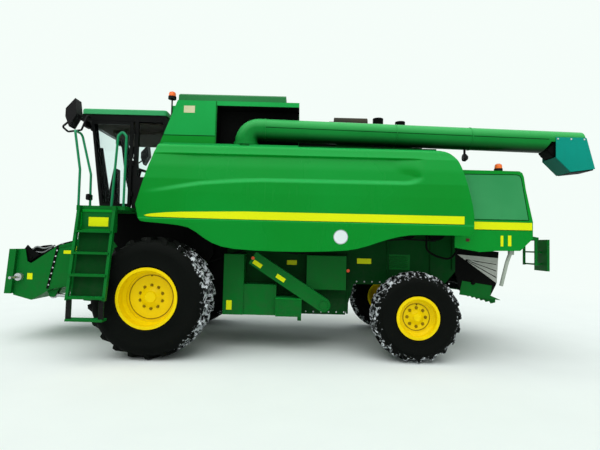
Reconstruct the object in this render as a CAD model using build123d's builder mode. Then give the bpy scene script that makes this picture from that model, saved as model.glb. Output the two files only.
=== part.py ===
from build123d import *
import math
import os

# Combine harvester, self-propelled, without a header.
# +X points forwards, +Y to the machine's left and +Z up.
# The origin lies on the ground, below the middle of the whole machine.
# All sizes are millimetres.

os.makedirs("parts", exist_ok=True)

# Clearances
seat_gap = 0.3
shaft_gap = 0.08
move_gap = 6

# Wheels and axles
front_axle_x = 1960
wheelbase = 3850
rear_axle_x = front_axle_x - wheelbase
front_tyre_radius = 870
front_tyre_width = 690
front_wheel_y = 1350
front_rim_radius = 432
front_rim_width = 670
rear_tyre_radius = 660
rear_tyre_width = 480
rear_wheel_y = 1270
rear_rim_radius = 312
rear_rim_width = 450
kingpin_y = 950
hub_radius = 150

# Threshing body
body_half_width = 720
body_front = 2450
body_rear = -2700
body_top = 2090
body_belly = 560
body_front_bottom = 1150
body_rear_bottom = 1060
belly_front = 1020
belly_rear = -920
sheet = 12

# Feeder house
feeder_pivot_x = 2600
feeder_pivot_z = 1720
pivot_radius = 50
feeder_half_width = 690
feeder_wall = 14
face_lean = 4

# Cab
cab_half_width = 850
cab_rear = 2060
cab_side_front = 3080
cab_nose = 3180
cab_floor = 2100
cab_sill = 2200
cab_ring = 3600
cab_top = 3800
cab_lean = 0.14
ring_front = cab_side_front + 360
pillar = 60
glass = 8

# Grain tank
tank_nose = 2035
tank_nose_top = tank_nose - 255
tank_front = tank_nose - 85
tank_rear = -100
tank_half_width = 1190
tank_wall = 20
tank_slope_top = 2700
tank_shoulder = tank_slope_top + 470
tank_panel_height = 690
tank_rim = tank_shoulder + tank_panel_height
tank_recess_front = 1170

# Unloading auger
auger_x = 715
auger_y = tank_half_width - 78
auger_radius = 171
auger_wall = 6
auger_seam = tank_shoulder + 36
auger_height = auger_seam + 239
auger_end = -4460
auger_bend = 200
auger_droop = 1.0
tank_recess_y = auger_y - auger_radius - 27

# Side shields
shield_hinge_y = tank_half_width + 115
shield_hinge_z = tank_shoulder - 30
shield_thickness = 26
hinge_rail_y = shield_hinge_y - 15 - 2 * seat_gap
shield_front = 1995
shield_bottom = 1570
shield_rear = -2685
sill_rear = -2190

# Rear hood
hood_half_width = tank_half_width + 100
hood_front = -2480
hood_top = 2865
hood_rear = -3650
hood_wall = 20


# Threshing body: welded box that holds the cylinder, walkers and shoe; closed all round but for
# the throat that the feeder house empties into.
with BuildPart() as threshing_body:
    with BuildSketch(Plane.XZ):
        with BuildLine():
            Polyline(
                (body_front, body_top),
                (body_front, body_front_bottom),
                (belly_front + 130, body_front_bottom),
                (belly_front, body_front_bottom - 130),
                (belly_front, body_belly),
                (belly_rear, body_belly),
                (belly_rear - 130, body_rear_bottom),
                (body_rear + 200, body_rear_bottom),
                (body_rear, body_rear_bottom + 240),
                (body_rear, body_top),
                close=True,
            )
        make_face()
    extrude(amount=body_half_width, both=True)
    throat_height = 560
    with BuildSketch(Plane.YZ.offset(body_front)):
        with Locations((0, body_front_bottom + 90 + throat_height / 2)):
            Rectangle(2 * body_half_width - 140, throat_height)
    extrude(amount=-450, mode=Mode.SUBTRACT)
    # lugs and pins that the feeder house hangs from
    for side in (1, -1):
        with BuildSketch(Plane.XZ.offset(-side * (feeder_half_width + 12))):
            with BuildLine():
                Polyline(
                    (body_front, feeder_pivot_z - 140),
                    (feeder_pivot_x + 20, feeder_pivot_z - 75),
                    (feeder_pivot_x + 75, feeder_pivot_z - 20),
                    (feeder_pivot_x + 75, feeder_pivot_z + 20),
                    (feeder_pivot_x + 20, feeder_pivot_z + 75),
                    (body_front, feeder_pivot_z + 140),
                    close=True,
                )
            make_face()
        extrude(amount=-side * 24)
        with BuildSketch(Plane.XZ.offset(-side * (feeder_half_width - feeder_wall - 6))):
            with Locations((feeder_pivot_x, feeder_pivot_z)):
                Circle(pivot_radius)
        extrude(amount=-side * (feeder_wall + 22))
    # the lugs' feet run back along the body's sides
    for side in (1, -1):
        with BuildSketch(Plane.XZ.offset(-side * body_half_width)):
            with Locations((body_front - 60, feeder_pivot_z)):
                Rectangle(240, 280)
        extrude(amount=-side * 6)
threshing_body.part.label = "threshing_body"
export_step(threshing_body.part, "parts/threshing_body.step")

# Front axle: square beam under the body's nose, with a final drive housing at each end and a pair
# of ears for each lift cylinder.
lift_y = 560
lift_base_x = 2150
lift_base_z = 640
ear_gap = 50
ear_plate = 20
pin_radius = 20
front_axle_z = front_tyre_radius
front_hub_inner = 150
with BuildPart() as front_axle:
    with BuildSketch(Plane.XZ.offset(-(body_half_width + 40))):
        with Locations((front_axle_x, (body_front_bottom + front_axle_z + 30) / 2)):
            Rectangle(230, body_front_bottom - front_axle_z - 30)
    extrude(amount=2 * (body_half_width + 40))
    with BuildSketch(Plane.XZ.offset(-(body_half_width + 240))):
        with BuildLine():
            low = ThreePointArc(
                (front_axle_x - 180, front_axle_z),
                (front_axle_x, front_axle_z - 180),
                (front_axle_x + 180, front_axle_z),
            )
            high = ThreePointArc(
                (front_axle_x - 130, front_axle_z + 190),
                (front_axle_x, front_axle_z + 320),
                (front_axle_x + 130, front_axle_z + 190),
            )
            Line(low @ 0, high @ 0)
            Line(low @ 1, high @ 1)
        make_face()
    extrude(amount=200)
    with BuildSketch(Plane.XZ.offset(-(front_wheel_y - front_hub_inner - seat_gap))):
        with Locations((front_axle_x, front_axle_z)):
            Circle(hub_radius)
    extrude(amount=front_wheel_y - front_hub_inner - seat_gap - body_half_width - 240)
    mirror(about=Plane.XZ)
    for side in (1, -1):
        for step in (-1, 1):
            ear_y = side * lift_y + step * (ear_gap + ear_plate + 2 * seat_gap) / 2
            with BuildSketch(Plane.XZ.offset(-(ear_y - ear_plate / 2))):
                with BuildLine():
                    Polyline(
                        (front_axle_x - 60, front_axle_z + 40),
                        (front_axle_x + 100, front_axle_z + 40),
                        (lift_base_x + 50, lift_base_z + 20),
                        (lift_base_x + 40, lift_base_z - 50),
                        (lift_base_x - 40, lift_base_z - 60),
                        (front_axle_x - 20, front_axle_z - 100),
                        close=True,
                    )
                make_face()
            extrude(amount=-ear_plate)
        with BuildSketch(Plane.XZ.offset(-(side * lift_y - ear_gap / 2 - ear_plate))):
            with Locations((lift_base_x, lift_base_z)):
                Circle(pin_radius)
        extrude(amount=-(ear_gap + 2 * ear_plate))
front_axle.part.label = "front_axle"
export_step(front_axle.part, "parts/front_axle.step")

# Rear axle: box beam that rocks on a pin under the body; its ends are the kingpin barrels.
rear_axle_z = rear_tyre_radius
beam_half = 90
barrel_half = 120
with BuildPart() as rear_axle:
    with BuildSketch(Plane.XY.offset(rear_axle_z - 85)):
        with Locations((rear_axle_x, 0)):
            Rectangle(2 * beam_half, 2 * kingpin_y - 60)
    extrude(amount=170)
    with BuildSketch(Plane.XY.offset(rear_axle_z - barrel_half)):
        with Locations((rear_axle_x, kingpin_y), (rear_axle_x, -kingpin_y)):
            Circle(75)
    extrude(amount=2 * barrel_half)
    for x in (rear_axle_x - beam_half - 25, rear_axle_x + beam_half):
        with BuildSketch(Plane.YZ.offset(x)):
            with BuildLine():
                Polyline(
                    (-260, body_rear_bottom),
                    (260, body_rear_bottom),
                    (110, rear_axle_z - 60),
                    (-110, rear_axle_z - 60),
                    close=True,
                )
            make_face()
        extrude(amount=25)
    with BuildSketch(Plane.YZ.offset(rear_axle_x - beam_half - 60)):
        with Locations((0, rear_axle_z)):
            Circle(45)
    extrude(amount=2 * beam_half + 120)
    with BuildSketch(Plane.XY.offset(rear_axle_z - barrel_half - 60)):
        with Locations((rear_axle_x, kingpin_y), (rear_axle_x, -kingpin_y)):
            Circle(28)
    extrude(amount=2 * barrel_half + 120)
rear_axle.part.label = "rear_axle"
export_step(rear_axle.part, "parts/rear_axle.step")

# Knuckles: forked around the kingpin barrel, with the wheel spindle outside and a steering arm
# behind.
rear_hub_inner = 60
arm_reach = 220
fork = 40
for name, side in (("knuckle_left", 1), ("knuckle_right", -1)):
    with BuildPart() as knuckle:
        for z in (rear_axle_z - barrel_half - seat_gap - fork, rear_axle_z + barrel_half + seat_gap):
            with BuildSketch(Plane.XY.offset(z)):
                with Locations((rear_axle_x, side * kingpin_y)):
                    Circle(75)
                with Locations((rear_axle_x, side * (kingpin_y + 70))):
                    Rectangle(150, 140)
            extrude(amount=fork)
        with BuildSketch(Plane.XY.offset(rear_axle_z - barrel_half - seat_gap)):
            with Locations((rear_axle_x, side * (kingpin_y + 110))):
                Rectangle(150, 60)
        extrude(amount=2 * (barrel_half + seat_gap))
        with BuildSketch(Plane.XZ.offset(-side * (kingpin_y + 140))):
            with Locations((rear_axle_x, rear_axle_z)):
                Circle(95)
        extrude(amount=-side * (rear_wheel_y - rear_hub_inner - seat_gap - kingpin_y - 140))
        with BuildSketch(Plane.XY.offset(rear_axle_z - barrel_half - seat_gap - fork)):
            with BuildLine():
                Polyline(
                    (rear_axle_x, side * (kingpin_y - 40)),
                    (rear_axle_x, side * (kingpin_y + 40)),
                    (rear_axle_x - arm_reach - 35, side * (kingpin_y + 30)),
                    (rear_axle_x - arm_reach - 35, side * (kingpin_y - 40)),
                    close=True,
                )
            make_face()
        extrude(amount=fork)
        with BuildSketch(Plane.XY.offset(rear_axle_z - 400)):
            with Locations((rear_axle_x, side * kingpin_y)):
                Circle(28 + shaft_gap)
        extrude(amount=800, mode=Mode.SUBTRACT)
    knuckle.part.label = name
    export_step(knuckle.part, f"parts/{name}.step")

# Tie rod: joins the two steering arms behind the beam.
tie_z = rear_axle_z - barrel_half
with BuildPart() as tie_rod:
    with BuildSketch(Plane.XY.offset(tie_z)):
        with Locations(
            (rear_axle_x - arm_reach, kingpin_y - 5),
            (rear_axle_x - arm_reach, -kingpin_y + 5),
        ):
            Circle(38)
    extrude(amount=50)
    with BuildSketch(Plane.XZ.offset(-(kingpin_y - 10))):
        with Locations((rear_axle_x - arm_reach, tie_z + 25)):
            Circle(22)
    extrude(amount=2 * (kingpin_y - 10))
tie_rod.part.label = "tie_rod"
export_step(tie_rod.part, "parts/tie_rod.step")

# Wheels: pressed steel rim with a drop centre and a dished disc on a solid hub, and its tyre.
# name, x, side, wheel plane y, tyre radius, tyre width, rim radius, rim width, dish, hub length in
wheels = [
    ("front", "left", 1, front_axle_x, front_wheel_y, front_tyre_radius, front_tyre_width,
     front_rim_radius, front_rim_width, 110, front_hub_inner, 150),
    ("front", "right", -1, front_axle_x, front_wheel_y, front_tyre_radius, front_tyre_width,
     front_rim_radius, front_rim_width, 110, front_hub_inner, 150),
    ("rear", "left", 1, rear_axle_x, rear_wheel_y, rear_tyre_radius, rear_tyre_width,
     rear_rim_radius, rear_rim_width, 90, rear_hub_inner, 105),
    ("rear", "right", -1, rear_axle_x, rear_wheel_y, rear_tyre_radius, rear_tyre_width,
     rear_rim_radius, rear_rim_width, 90, rear_hub_inner, 105),
]
for axle, hand, side, x, y, tyre_r, tyre_w, rim_r, rim_w, dish, hub_in, hub_r in wheels:
    wheel_plane = Plane(origin=(x, side * y, tyre_r), x_dir=(0, side, 0), z_dir=(side, 0, 0))
    spin = Axis((x, side * y, tyre_r), (0, 1, 0))
    w = rim_w / 2
    seat = rim_r - 28
    well = rim_r - 68
    skin = 14
    with BuildPart() as rim:
        with BuildSketch(wheel_plane):
            with BuildLine():
                Polyline(
                    (-w, rim_r),
                    (-w + skin, rim_r),
                    (-w + skin, seat),
                    (-w + 0.32 * rim_w, seat - 4),
                    (-w + 0.38 * rim_w, well),
                    (0.22 * rim_w, well),
                    (0.30 * rim_w, seat - 4),
                    (w - skin, seat),
                    (w - skin, rim_r),
                    (w, rim_r),
                    (w, seat - skin),
                    (0.31 * rim_w, seat - 4 - skin),
                    (0.23 * rim_w, well - skin),
                    (dish + skin, well - skin),
                    (dish + skin, hub_r + 10),
                    (dish + skin + 40, hub_r * 0.6),
                    (dish + skin + 60, hub_r * 0.5),
                    (dish + skin + 60, 0),
                    (-hub_in, 0),
                    (-hub_in, hub_r),
                    (dish, hub_r),
                    (dish, well - skin),
                    (-w + 0.37 * rim_w, well - skin),
                    (-w + 0.31 * rim_w, seat - 4 - skin),
                    (-w, seat - skin),
                    close=True,
                )
            make_face()
        revolve(axis=spin)
    rim.part.label = f"{axle}_rim_{hand}"
    export_step(rim.part, f"parts/{axle}_rim_{hand}.step")

    bead = seat + seat_gap
    half = tyre_w / 2
    flat = w - skin - seat_gap
    shoulder = tyre_r - 22
    with BuildPart() as tyre:
        with BuildSketch(wheel_plane):
            with BuildLine():
                Line((-flat, bead), (flat, bead))
                Line((flat, bead), (flat, rim_r + 6))
                ThreePointArc(
                    (flat, rim_r + 6),
                    (half, (rim_r + tyre_r) / 2),
                    (half - 30, tyre_r - 110),
                )
                Line((half - 30, tyre_r - 110), (half - 62, shoulder))
                ThreePointArc((half - 62, shoulder), (0, tyre_r), (-half + 62, shoulder))
                Line((-half + 62, shoulder), (-half + 30, tyre_r - 110))
                ThreePointArc(
                    (-half + 30, tyre_r - 110),
                    (-half, (rim_r + tyre_r) / 2),
                    (-flat, rim_r + 6),
                )
                Line((-flat, rim_r + 6), (-flat, bead))
            make_face()
        revolve(axis=spin)
    tyre.part.label = f"{axle}_tyre_{hand}"
    export_step(tyre.part, f"parts/{axle}_tyre_{hand}.step")

# Feeder house: long sheet metal duct from the header to the threshing body, hung from its rear
# top shaft; the leaning frame at its front takes the header.
rod_eye_x = 3900
rod_eye_z = 745
face_foot_x = 4600
face_foot_z = 770
face_head_z = 1490
face_thickness = 110
face_back_x = face_foot_x - face_thickness
duct_top = [(feeder_pivot_x - 70, 1850), (3430, 1660), (3800, 1560), (face_back_x, 1075)]
duct_bottom = [(face_back_x, 745), (4190, 668), (3900, 840), (feeder_pivot_x + 30, 1090)]
mouth_middle = 930
mouth_height = 260
face_run = math.tan(math.radians(face_lean)) * (face_head_z - face_foot_z)
with BuildPart() as feeder_house:
    with BuildSketch(Plane.XZ):
        with BuildLine():
            Polyline(*duct_top, *duct_bottom, close=True)
        make_face()
    extrude(amount=feeder_half_width, both=True)
    with BuildSketch(Plane.XZ):
        with BuildLine():
            Polyline(
                (feeder_pivot_x - 200, 1868),
                (3426, 1660 - feeder_wall),
                (3794, 1560 - feeder_wall),
                (face_back_x - 10, 1065),
                (face_back_x - 10, 757),
                (4188, 671 + feeder_wall),
                (3900, 840 + feeder_wall),
                (feeder_pivot_x - 200, 1150),
                close=True,
            )
        make_face()
    extrude(amount=feeder_half_width - feeder_wall, both=True, mode=Mode.SUBTRACT)
    # leaning header frame
    with BuildSketch(Plane.XZ):
        with BuildLine():
            Polyline(
                (face_foot_x, face_foot_z),
                (face_foot_x - face_run, face_head_z),
                (face_back_x - face_run, face_head_z),
                (face_back_x, face_foot_z),
                close=True,
            )
        make_face()
    extrude(amount=feeder_half_width + 60, both=True)
    with BuildSketch(Plane.YZ.offset(face_foot_x + 50)):
        with Locations((0, mouth_middle)):
            Rectangle(2 * feeder_half_width - 100, mouth_height)
    extrude(amount=-700, mode=Mode.SUBTRACT)
    # side plates that tie the frame to the duct
    for y in (feeder_half_width - 14, -feeder_half_width):
        with BuildSketch(Plane.XZ.offset(-y)):
            with BuildLine():
                Polyline(
                    (face_back_x + 2, face_foot_z),
                    (face_back_x - face_run + 2, face_head_z),
                    (face_back_x - face_run - 110, face_head_z),
                    (face_back_x - face_run - 150, 1290),
                    (4190, 1240),
                    (4300, 760),
                    close=True,
                )
            make_face()
        extrude(amount=-14)
    # lugs for the lift cylinders' rod pins
    for side in (1, -1):
        for step in (-1, 1):
            with BuildSketch(Plane.XZ.offset(-(side * lift_y + step * 40 - 8))):
                with BuildLine():
                    Polyline(
                        (rod_eye_x - 110, 862),
                        (rod_eye_x + 80, 802),
                        (rod_eye_x + 38, rod_eye_z - 32),
                        (rod_eye_x - 38, rod_eye_z - 32),
                        close=True,
                    )
                make_face()
            extrude(amount=-16)
        with BuildSketch(Plane.XZ.offset(-(side * lift_y - 48))):
            with Locations((rod_eye_x, rod_eye_z)):
                Circle(18)
        extrude(amount=-96)
    with BuildSketch(Plane.XZ):
        with Locations((feeder_pivot_x, feeder_pivot_z)):
            Circle(pivot_radius + shaft_gap)
    extrude(amount=feeder_half_width + 10, both=True, mode=Mode.SUBTRACT)
feeder_house.part.label = "feeder_house"
export_step(feeder_house.part, "parts/feeder_house.step")

# Feeder conveyor: chains with slats round a rear drive drum and a front drum.
front_drum_x = 4170
front_drum_z = 950
drum_radius = 110
conveyor_half_width = feeder_half_width - feeder_wall - 20
with BuildPart() as feeder_conveyor:
    for x, z, r in ((feeder_pivot_x + 150, 1480, 130), (front_drum_x, front_drum_z, drum_radius)):
        with BuildSketch(Plane.XZ):
            with Locations((x, z)):
                Circle(r)
        extrude(amount=conveyor_half_width, both=True)
        with BuildSketch(Plane.XZ):
            with Locations((x, z)):
                Circle(30)
        extrude(amount=feeder_half_width - feeder_wall - seat_gap, both=True)
feeder_conveyor.part.label = "feeder_conveyor"
export_step(feeder_conveyor.part, "parts/feeder_conveyor.step")

# Header drive: shaft stub out of the feeder house's left side.
stub_x = face_back_x - 100
stub_z = 1040
stub_length = 190
with BuildPart() as header_drive:
    with BuildSketch(Plane.XZ.offset(-(feeder_half_width + seat_gap))):
        with Locations((stub_x, stub_z)):
            Circle(60)
    extrude(amount=-60)
    with BuildSketch(Plane.XZ.offset(-(feeder_half_width + 60))):
        with Locations((stub_x, stub_z)):
            Circle(22)
    extrude(amount=-stub_length)
header_drive.part.label = "header_drive"
export_step(header_drive.part, "parts/header_drive.step")

# Lift cylinders: barrel pinned under the front axle, rod pinned under the feeder house.
lift_length = math.hypot(rod_eye_x - lift_base_x, rod_eye_z - lift_base_z)
lift_angle = math.degrees(math.atan2(rod_eye_z - lift_base_z, rod_eye_x - lift_base_x))
barrel_radius = 55
bore_radius = 44
rod_radius = 30
barrel_length = 1240
piston_at = 730
for hand, side in (("left", 1), ("right", -1)):
    along = Plane(
        origin=(lift_base_x, side * lift_y, lift_base_z),
        x_dir=(0, 1, 0),
        z_dir=(math.cos(math.radians(lift_angle)), 0, math.sin(math.radians(lift_angle))),
    )
    across = Plane(origin=(lift_base_x, side * lift_y, lift_base_z), z_dir=(0, 1, 0))
    eye = Plane(origin=(rod_eye_x, side * lift_y, rod_eye_z), z_dir=(0, 1, 0))
    with BuildPart() as lift_barrel:
        with BuildSketch(along.offset(90)):
            Circle(barrel_radius)
        extrude(amount=barrel_length - 90)
        with BuildSketch(across):
            Circle(48)
        extrude(amount=ear_gap / 2, both=True)
        with BuildSketch(along):
            Rectangle(ear_gap, 80)
        extrude(amount=92)
        with BuildSketch(across):
            Circle(pin_radius + shaft_gap)
        extrude(amount=ear_gap, both=True, mode=Mode.SUBTRACT)
        with BuildSketch(along.offset(110)):
            Circle(bore_radius)
        extrude(amount=barrel_length - 150, mode=Mode.SUBTRACT)
        with BuildSketch(along.offset(110)):
            Circle(rod_radius + shaft_gap)
        extrude(amount=barrel_length, mode=Mode.SUBTRACT)
    lift_barrel.part.label = f"lift_barrel_{hand}"
    export_step(lift_barrel.part, f"parts/lift_barrel_{hand}.step")

    with BuildPart() as lift_rod:
        with BuildSketch(along.offset(piston_at)):
            Circle(rod_radius)
        extrude(amount=lift_length - piston_at - 50)
        with BuildSketch(along.offset(piston_at)):
            Circle(bore_radius - 1)
        extrude(amount=40)
        with BuildSketch(eye):
            Circle(60)
        extrude(amount=22, both=True)
        with BuildSketch(eye):
            Circle(40)
        extrude(amount=40, both=True, mode=Mode.SUBTRACT)
    lift_rod.part.label = f"lift_rod_{hand}"
    export_step(lift_rod.part, f"parts/lift_rod_{hand}.step")

# Cab: floor, pillars, rear wall and the ring that the roof sits on; the nose is bowed and leans
# forwards.
lean = Vector(cab_lean, 0, 1)
ring_height = 110
door_rear = 2575
door_thickness = 28
hinge_x = door_rear - 18
hinge_y = cab_half_width + move_gap + door_thickness / 2
hinge_heights = (2400, 2900, 3400)
b_pillar_x = 2500
with BuildPart() as cab_frame:
    with BuildSketch(Plane.XY.offset(cab_floor)):
        with BuildLine():
            ThreePointArc(
                (cab_side_front, -cab_half_width),
                (cab_nose, 0),
                (cab_side_front, cab_half_width),
            )
            Polyline(
                (cab_side_front, cab_half_width),
                (cab_rear, cab_half_width),
                (cab_rear, -cab_half_width),
                (cab_side_front, -cab_half_width),
            )
        make_face()
    extrude(amount=cab_sill - cab_floor)
    with BuildSketch(Plane.XY.offset(body_top + seat_gap)):
        with Locations(*[(x, side * 600) for x in (cab_rear + 70, body_front - 60) for side in (1, -1)]):
            Circle(45)
    extrude(amount=cab_floor - body_top - seat_gap)
    # pan under the floor, ahead of the body and above the feeder house
    with BuildSketch(Plane.XZ):
        with BuildLine():
            Polyline(
                (body_front + seat_gap, cab_floor),
                (body_front + seat_gap, cab_floor - 225),
                (body_front + 110, cab_floor - 225),
                (cab_side_front - 30, cab_floor - 150),
                (cab_side_front - 30, cab_floor),
                close=True,
            )
        make_face()
    extrude(amount=body_half_width - 20, both=True)
    with BuildSketch(Plane.XY.offset(cab_sill)):
        with Locations((cab_rear + 20, 0)):
            Rectangle(40, 2 * cab_half_width)
        for side in (1, -1):
            with Locations((b_pillar_x + pillar / 2, side * (cab_half_width - pillar / 2))):
                Rectangle(pillar, pillar)
    extrude(amount=cab_ring - cab_sill)
    with BuildSketch(Plane.XY.offset(cab_sill)):
        for side in (1, -1):
            with Locations((cab_rear + 240, side * (cab_half_width - 15))):
                Rectangle(480, 30)
    extrude(amount=500)
    with BuildSketch(Plane.XY.offset(cab_sill)):
        for side in (1, -1):
            with Locations((cab_side_front - pillar / 2 - 20, side * (cab_half_width - pillar / 2))):
                Rectangle(pillar, pillar)
    extrude(amount=cab_ring - cab_sill, dir=lean)
    with BuildSketch(Plane.YZ.offset(cab_rear)):
        with Locations((0, 3120)):
            Rectangle(1300, 700)
    extrude(amount=60, mode=Mode.SUBTRACT)
    with BuildSketch(Plane.XY.offset(cab_ring)):
        with Locations(((cab_rear + ring_front) / 2, 0)):
            Rectangle(ring_front - cab_rear, 2 * cab_half_width)
    extrude(amount=ring_height)
    for z in hinge_heights:
        with BuildSketch(Plane.XY.offset(z - seat_gap - 14)):
            with Locations((hinge_x, (cab_half_width + hinge_y + 12) / 2)):
                Rectangle(26, hinge_y + 12 - cab_half_width)
        extrude(amount=14)
cab_frame.part.label = "cab_frame"
export_step(cab_frame.part, "parts/cab_frame.step")

roof_front = ring_front - 20
roof_half = cab_half_width + 20
with BuildPart() as cab_roof:
    with BuildSketch(Plane.XY.offset(cab_ring + ring_height)):
        with BuildLine():
            ThreePointArc((roof_front, -roof_half), (roof_front + 65, 0), (roof_front, roof_half))
            Polyline(
                (roof_front, roof_half),
                (cab_rear - 15, roof_half),
                (cab_rear - 15, -roof_half),
                (roof_front, -roof_half),
            )
        make_face()
    extrude(amount=cab_top - cab_ring - ring_height)
    fillet(cab_roof.edges().filter_by(Axis.Z), radius=60)
    fillet(cab_roof.faces().sort_by(Axis.Z)[-1].edges(), radius=30)
cab_roof.part.label = "cab_roof"
export_step(cab_roof.part, "parts/cab_roof.step")

# Cab glass: the bowed windscreen, the fixed right window and the two small rear side windows.
with BuildPart() as cab_glass:
    with BuildSketch(Plane.XY.offset(cab_sill)):
        with BuildLine():
            ThreePointArc(
                (cab_side_front - 10, -cab_half_width + 10),
                (cab_nose - 12, 0),
                (cab_side_front - 10, cab_half_width - 10),
            )
            Line(
                (cab_side_front - 10, cab_half_width - 10),
                (cab_side_front - 10 - glass, cab_half_width - 10),
            )
            ThreePointArc(
                (cab_side_front - 10 - glass, cab_half_width - 10),
                (cab_nose - 12 - glass, 0),
                (cab_side_front - 10 - glass, -cab_half_width + 10),
            )
            Line(
                (cab_side_front - 10 - glass, -cab_half_width + 10),
                (cab_side_front - 10, -cab_half_width + 10),
            )
        make_face()
    extrude(amount=cab_ring - cab_sill, dir=lean)
    with BuildSketch(Plane.XZ.offset(cab_half_width - 20)):
        with BuildLine():
            Polyline(
                (b_pillar_x + pillar, cab_sill),
                (cab_side_front - pillar - 20, cab_sill),
                (cab_side_front - pillar - 20 + cab_lean * (cab_ring - cab_sill), cab_ring),
                (b_pillar_x + pillar, cab_ring),
                close=True,
            )
        make_face()
    extrude(amount=-glass)
    for y in (cab_half_width - 20, -cab_half_width + 20 + glass):
        with BuildSketch(Plane.XZ.offset(y)):
            with BuildLine():
                Polyline(
                    (cab_rear + 40, cab_sill + 500),
                    (b_pillar_x, cab_sill + 500),
                    (b_pillar_x, cab_ring),
                    (cab_rear + 40, cab_ring),
                    close=True,
                )
            make_face()
        extrude(amount=-glass)
cab_glass.part.label = "cab_glass"
export_step(cab_glass.part, "parts/cab_glass.step")

# Cab door: narrow frame with one big pane, hung on the rear pillar.
door_y = cab_half_width + move_gap
door_border = 45
door_base = 2215
door_head = 3585
door_front_low = 3060
door_slant = cab_lean * (door_head - door_base)
door_outline = [
    (door_rear, door_base),
    (door_front_low, door_base),
    (door_front_low + door_slant, door_head),
    (door_rear, door_head),
]
pane_outline = [
    (door_rear + door_border, door_base + door_border),
    (door_front_low - door_border, door_base + door_border),
    (door_front_low + door_slant - door_border, door_head - door_border),
    (door_rear + door_border, door_head - door_border),
]
with BuildPart() as cab_door:
    with BuildSketch(Plane.XZ.offset(-door_y)):
        with BuildLine():
            Polyline(*door_outline, close=True)
        make_face()
        with BuildLine():
            Polyline(*pane_outline, close=True)
        make_face(mode=Mode.SUBTRACT)
    extrude(amount=-door_thickness)
    for z in hinge_heights:
        with BuildSketch(Plane.XY.offset(z)):
            with Locations((hinge_x, hinge_y)):
                Circle(12)
            with Locations(((hinge_x + door_rear) / 2, hinge_y)):
                Rectangle(door_rear - hinge_x + 2, 12)
        extrude(amount=60)
cab_door.part.label = "cab_door"
export_step(cab_door.part, "parts/cab_door.step")

with BuildPart() as door_glass:
    with BuildSketch(Plane.XZ.offset(-(door_y + 10))):
        with BuildLine():
            Polyline(*pane_outline, close=True)
        make_face()
    extrude(amount=-glass)
door_glass.part.label = "door_glass"
export_step(door_glass.part, "parts/door_glass.step")

# Operator's seat: pedestal, cushion and backrest.
with BuildPart() as operator_seat:
    with BuildSketch(Plane.XY.offset(cab_sill)):
        with Locations((2430, 0)):
            Rectangle(380, 400)
    extrude(amount=330)
    with BuildSketch(Plane.XZ.offset(-260)):
        with BuildLine():
            Polyline(
                (2250, cab_sill + 330),
                (2700, cab_sill + 330),
                (2720, cab_sill + 400),
                (2690, cab_sill + 450),
                (2350, cab_sill + 440),
                (2300, cab_sill + 1130),
                (2220, cab_sill + 1150),
                (2180, cab_sill + 1100),
                close=True,
            )
        make_face()
    extrude(amount=520)
operator_seat.part.label = "operator_seat"
export_step(operator_seat.part, "parts/operator_seat.step")

# Steering column with its wheel, and the console at the operator's right.
with BuildPart() as cab_controls:
    column = Plane(origin=(2980, 0, cab_sill - 20), x_dir=(0, 1, 0), z_dir=(-0.25, 0, 0.97))
    with BuildSketch(column):
        Circle(35)
    extrude(amount=800)
    with BuildSketch(column.offset(795)):
        Circle(190)
        Circle(165, mode=Mode.SUBTRACT)
        Rectangle(340, 40)
    extrude(amount=26)
    with BuildSketch(Plane.XY.offset(cab_sill - 60)):
        with Locations((2980, 0)):
            Circle(90)
    extrude(amount=60, mode=Mode.SUBTRACT)
    with BuildSketch(Plane.XY.offset(cab_sill)):
        with Locations((2560, -420)):
            Rectangle(620, 200)
    extrude(amount=560)
cab_controls.part.label = "cab_controls"
export_step(cab_controls.part, "parts/cab_controls.step")

# Left platform: deck beside the cab door, with a deep apron box along its outer edge.
platform_front = 2980
platform_rear = 2330
platform_outer = 1650
platform_top = 2150
ladder_front = 2955
ladder_rear = 2455
ladder_top = 2080
with BuildPart() as platform:
    with BuildSketch(Plane.XY.offset(platform_top - 50)):
        with Locations(((platform_front + platform_rear) / 2, (platform_outer + cab_half_width) / 2)):
            Rectangle(platform_front - platform_rear, platform_outer - cab_half_width)
    extrude(amount=50)
    with BuildSketch(Plane.XY.offset(platform_top - 370)):
        with Locations(((platform_front + platform_rear) / 2 + 60, platform_outer - 30)):
            Rectangle(platform_front - platform_rear - 120, 60)
    extrude(amount=320)
    with BuildSketch(Plane.XY.offset(ladder_top + seat_gap)):
        with Locations((ladder_front, platform_outer + 30), (ladder_rear, platform_outer + 30)):
            Rectangle(50, 60)
    extrude(amount=platform_top - ladder_top - seat_gap)
platform.part.label = "platform"
export_step(platform.part, "parts/platform.step")

# Handrails: bent tube hoops on the platform, one before and one behind the ladder, and a grab
# rail beside the door.
rail_radius = 17
rail_front_x = platform_front + rail_radius + 2 * seat_gap
# points along each rail, then its bend radius
rails = [
    ([(rail_front_x, 1625, 1930), (rail_front_x + 5, 1625, 2670), (3100, 1625, 3230),
      (3170, 1450, 3260), (3170, 1300, 3260), (rail_front_x + 10, 1300, 2650),
      (rail_front_x, 1300, 2110)], 60),
    ([(2530, 1625, platform_top + 1.2), (2480, 1625, 3160), (2420, 1625, 3230),
      (2360, 1625, 3160), (2360, 1625, platform_top + 1.2)], 30),
]
with BuildPart() as handrails:
    for points, bend in rails:
        with BuildLine() as path:
            FilletPolyline(*points, radius=bend)
        with BuildSketch(Plane(origin=path.line @ 0, z_dir=path.line % 0)):
            Circle(rail_radius)
        sweep(path=path.line)
handrails.part.label = "handrails"
export_step(handrails.part, "parts/handrails.step")

# Ladder: four treads between two leaning rails, and a hanging bottom step on rubber straps.
ladder_foot = 850
ladder_top_y = platform_outer + 33
ladder_foot_y = 1880
tread_heights = [870, 1170, 1470, 1770]


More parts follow.
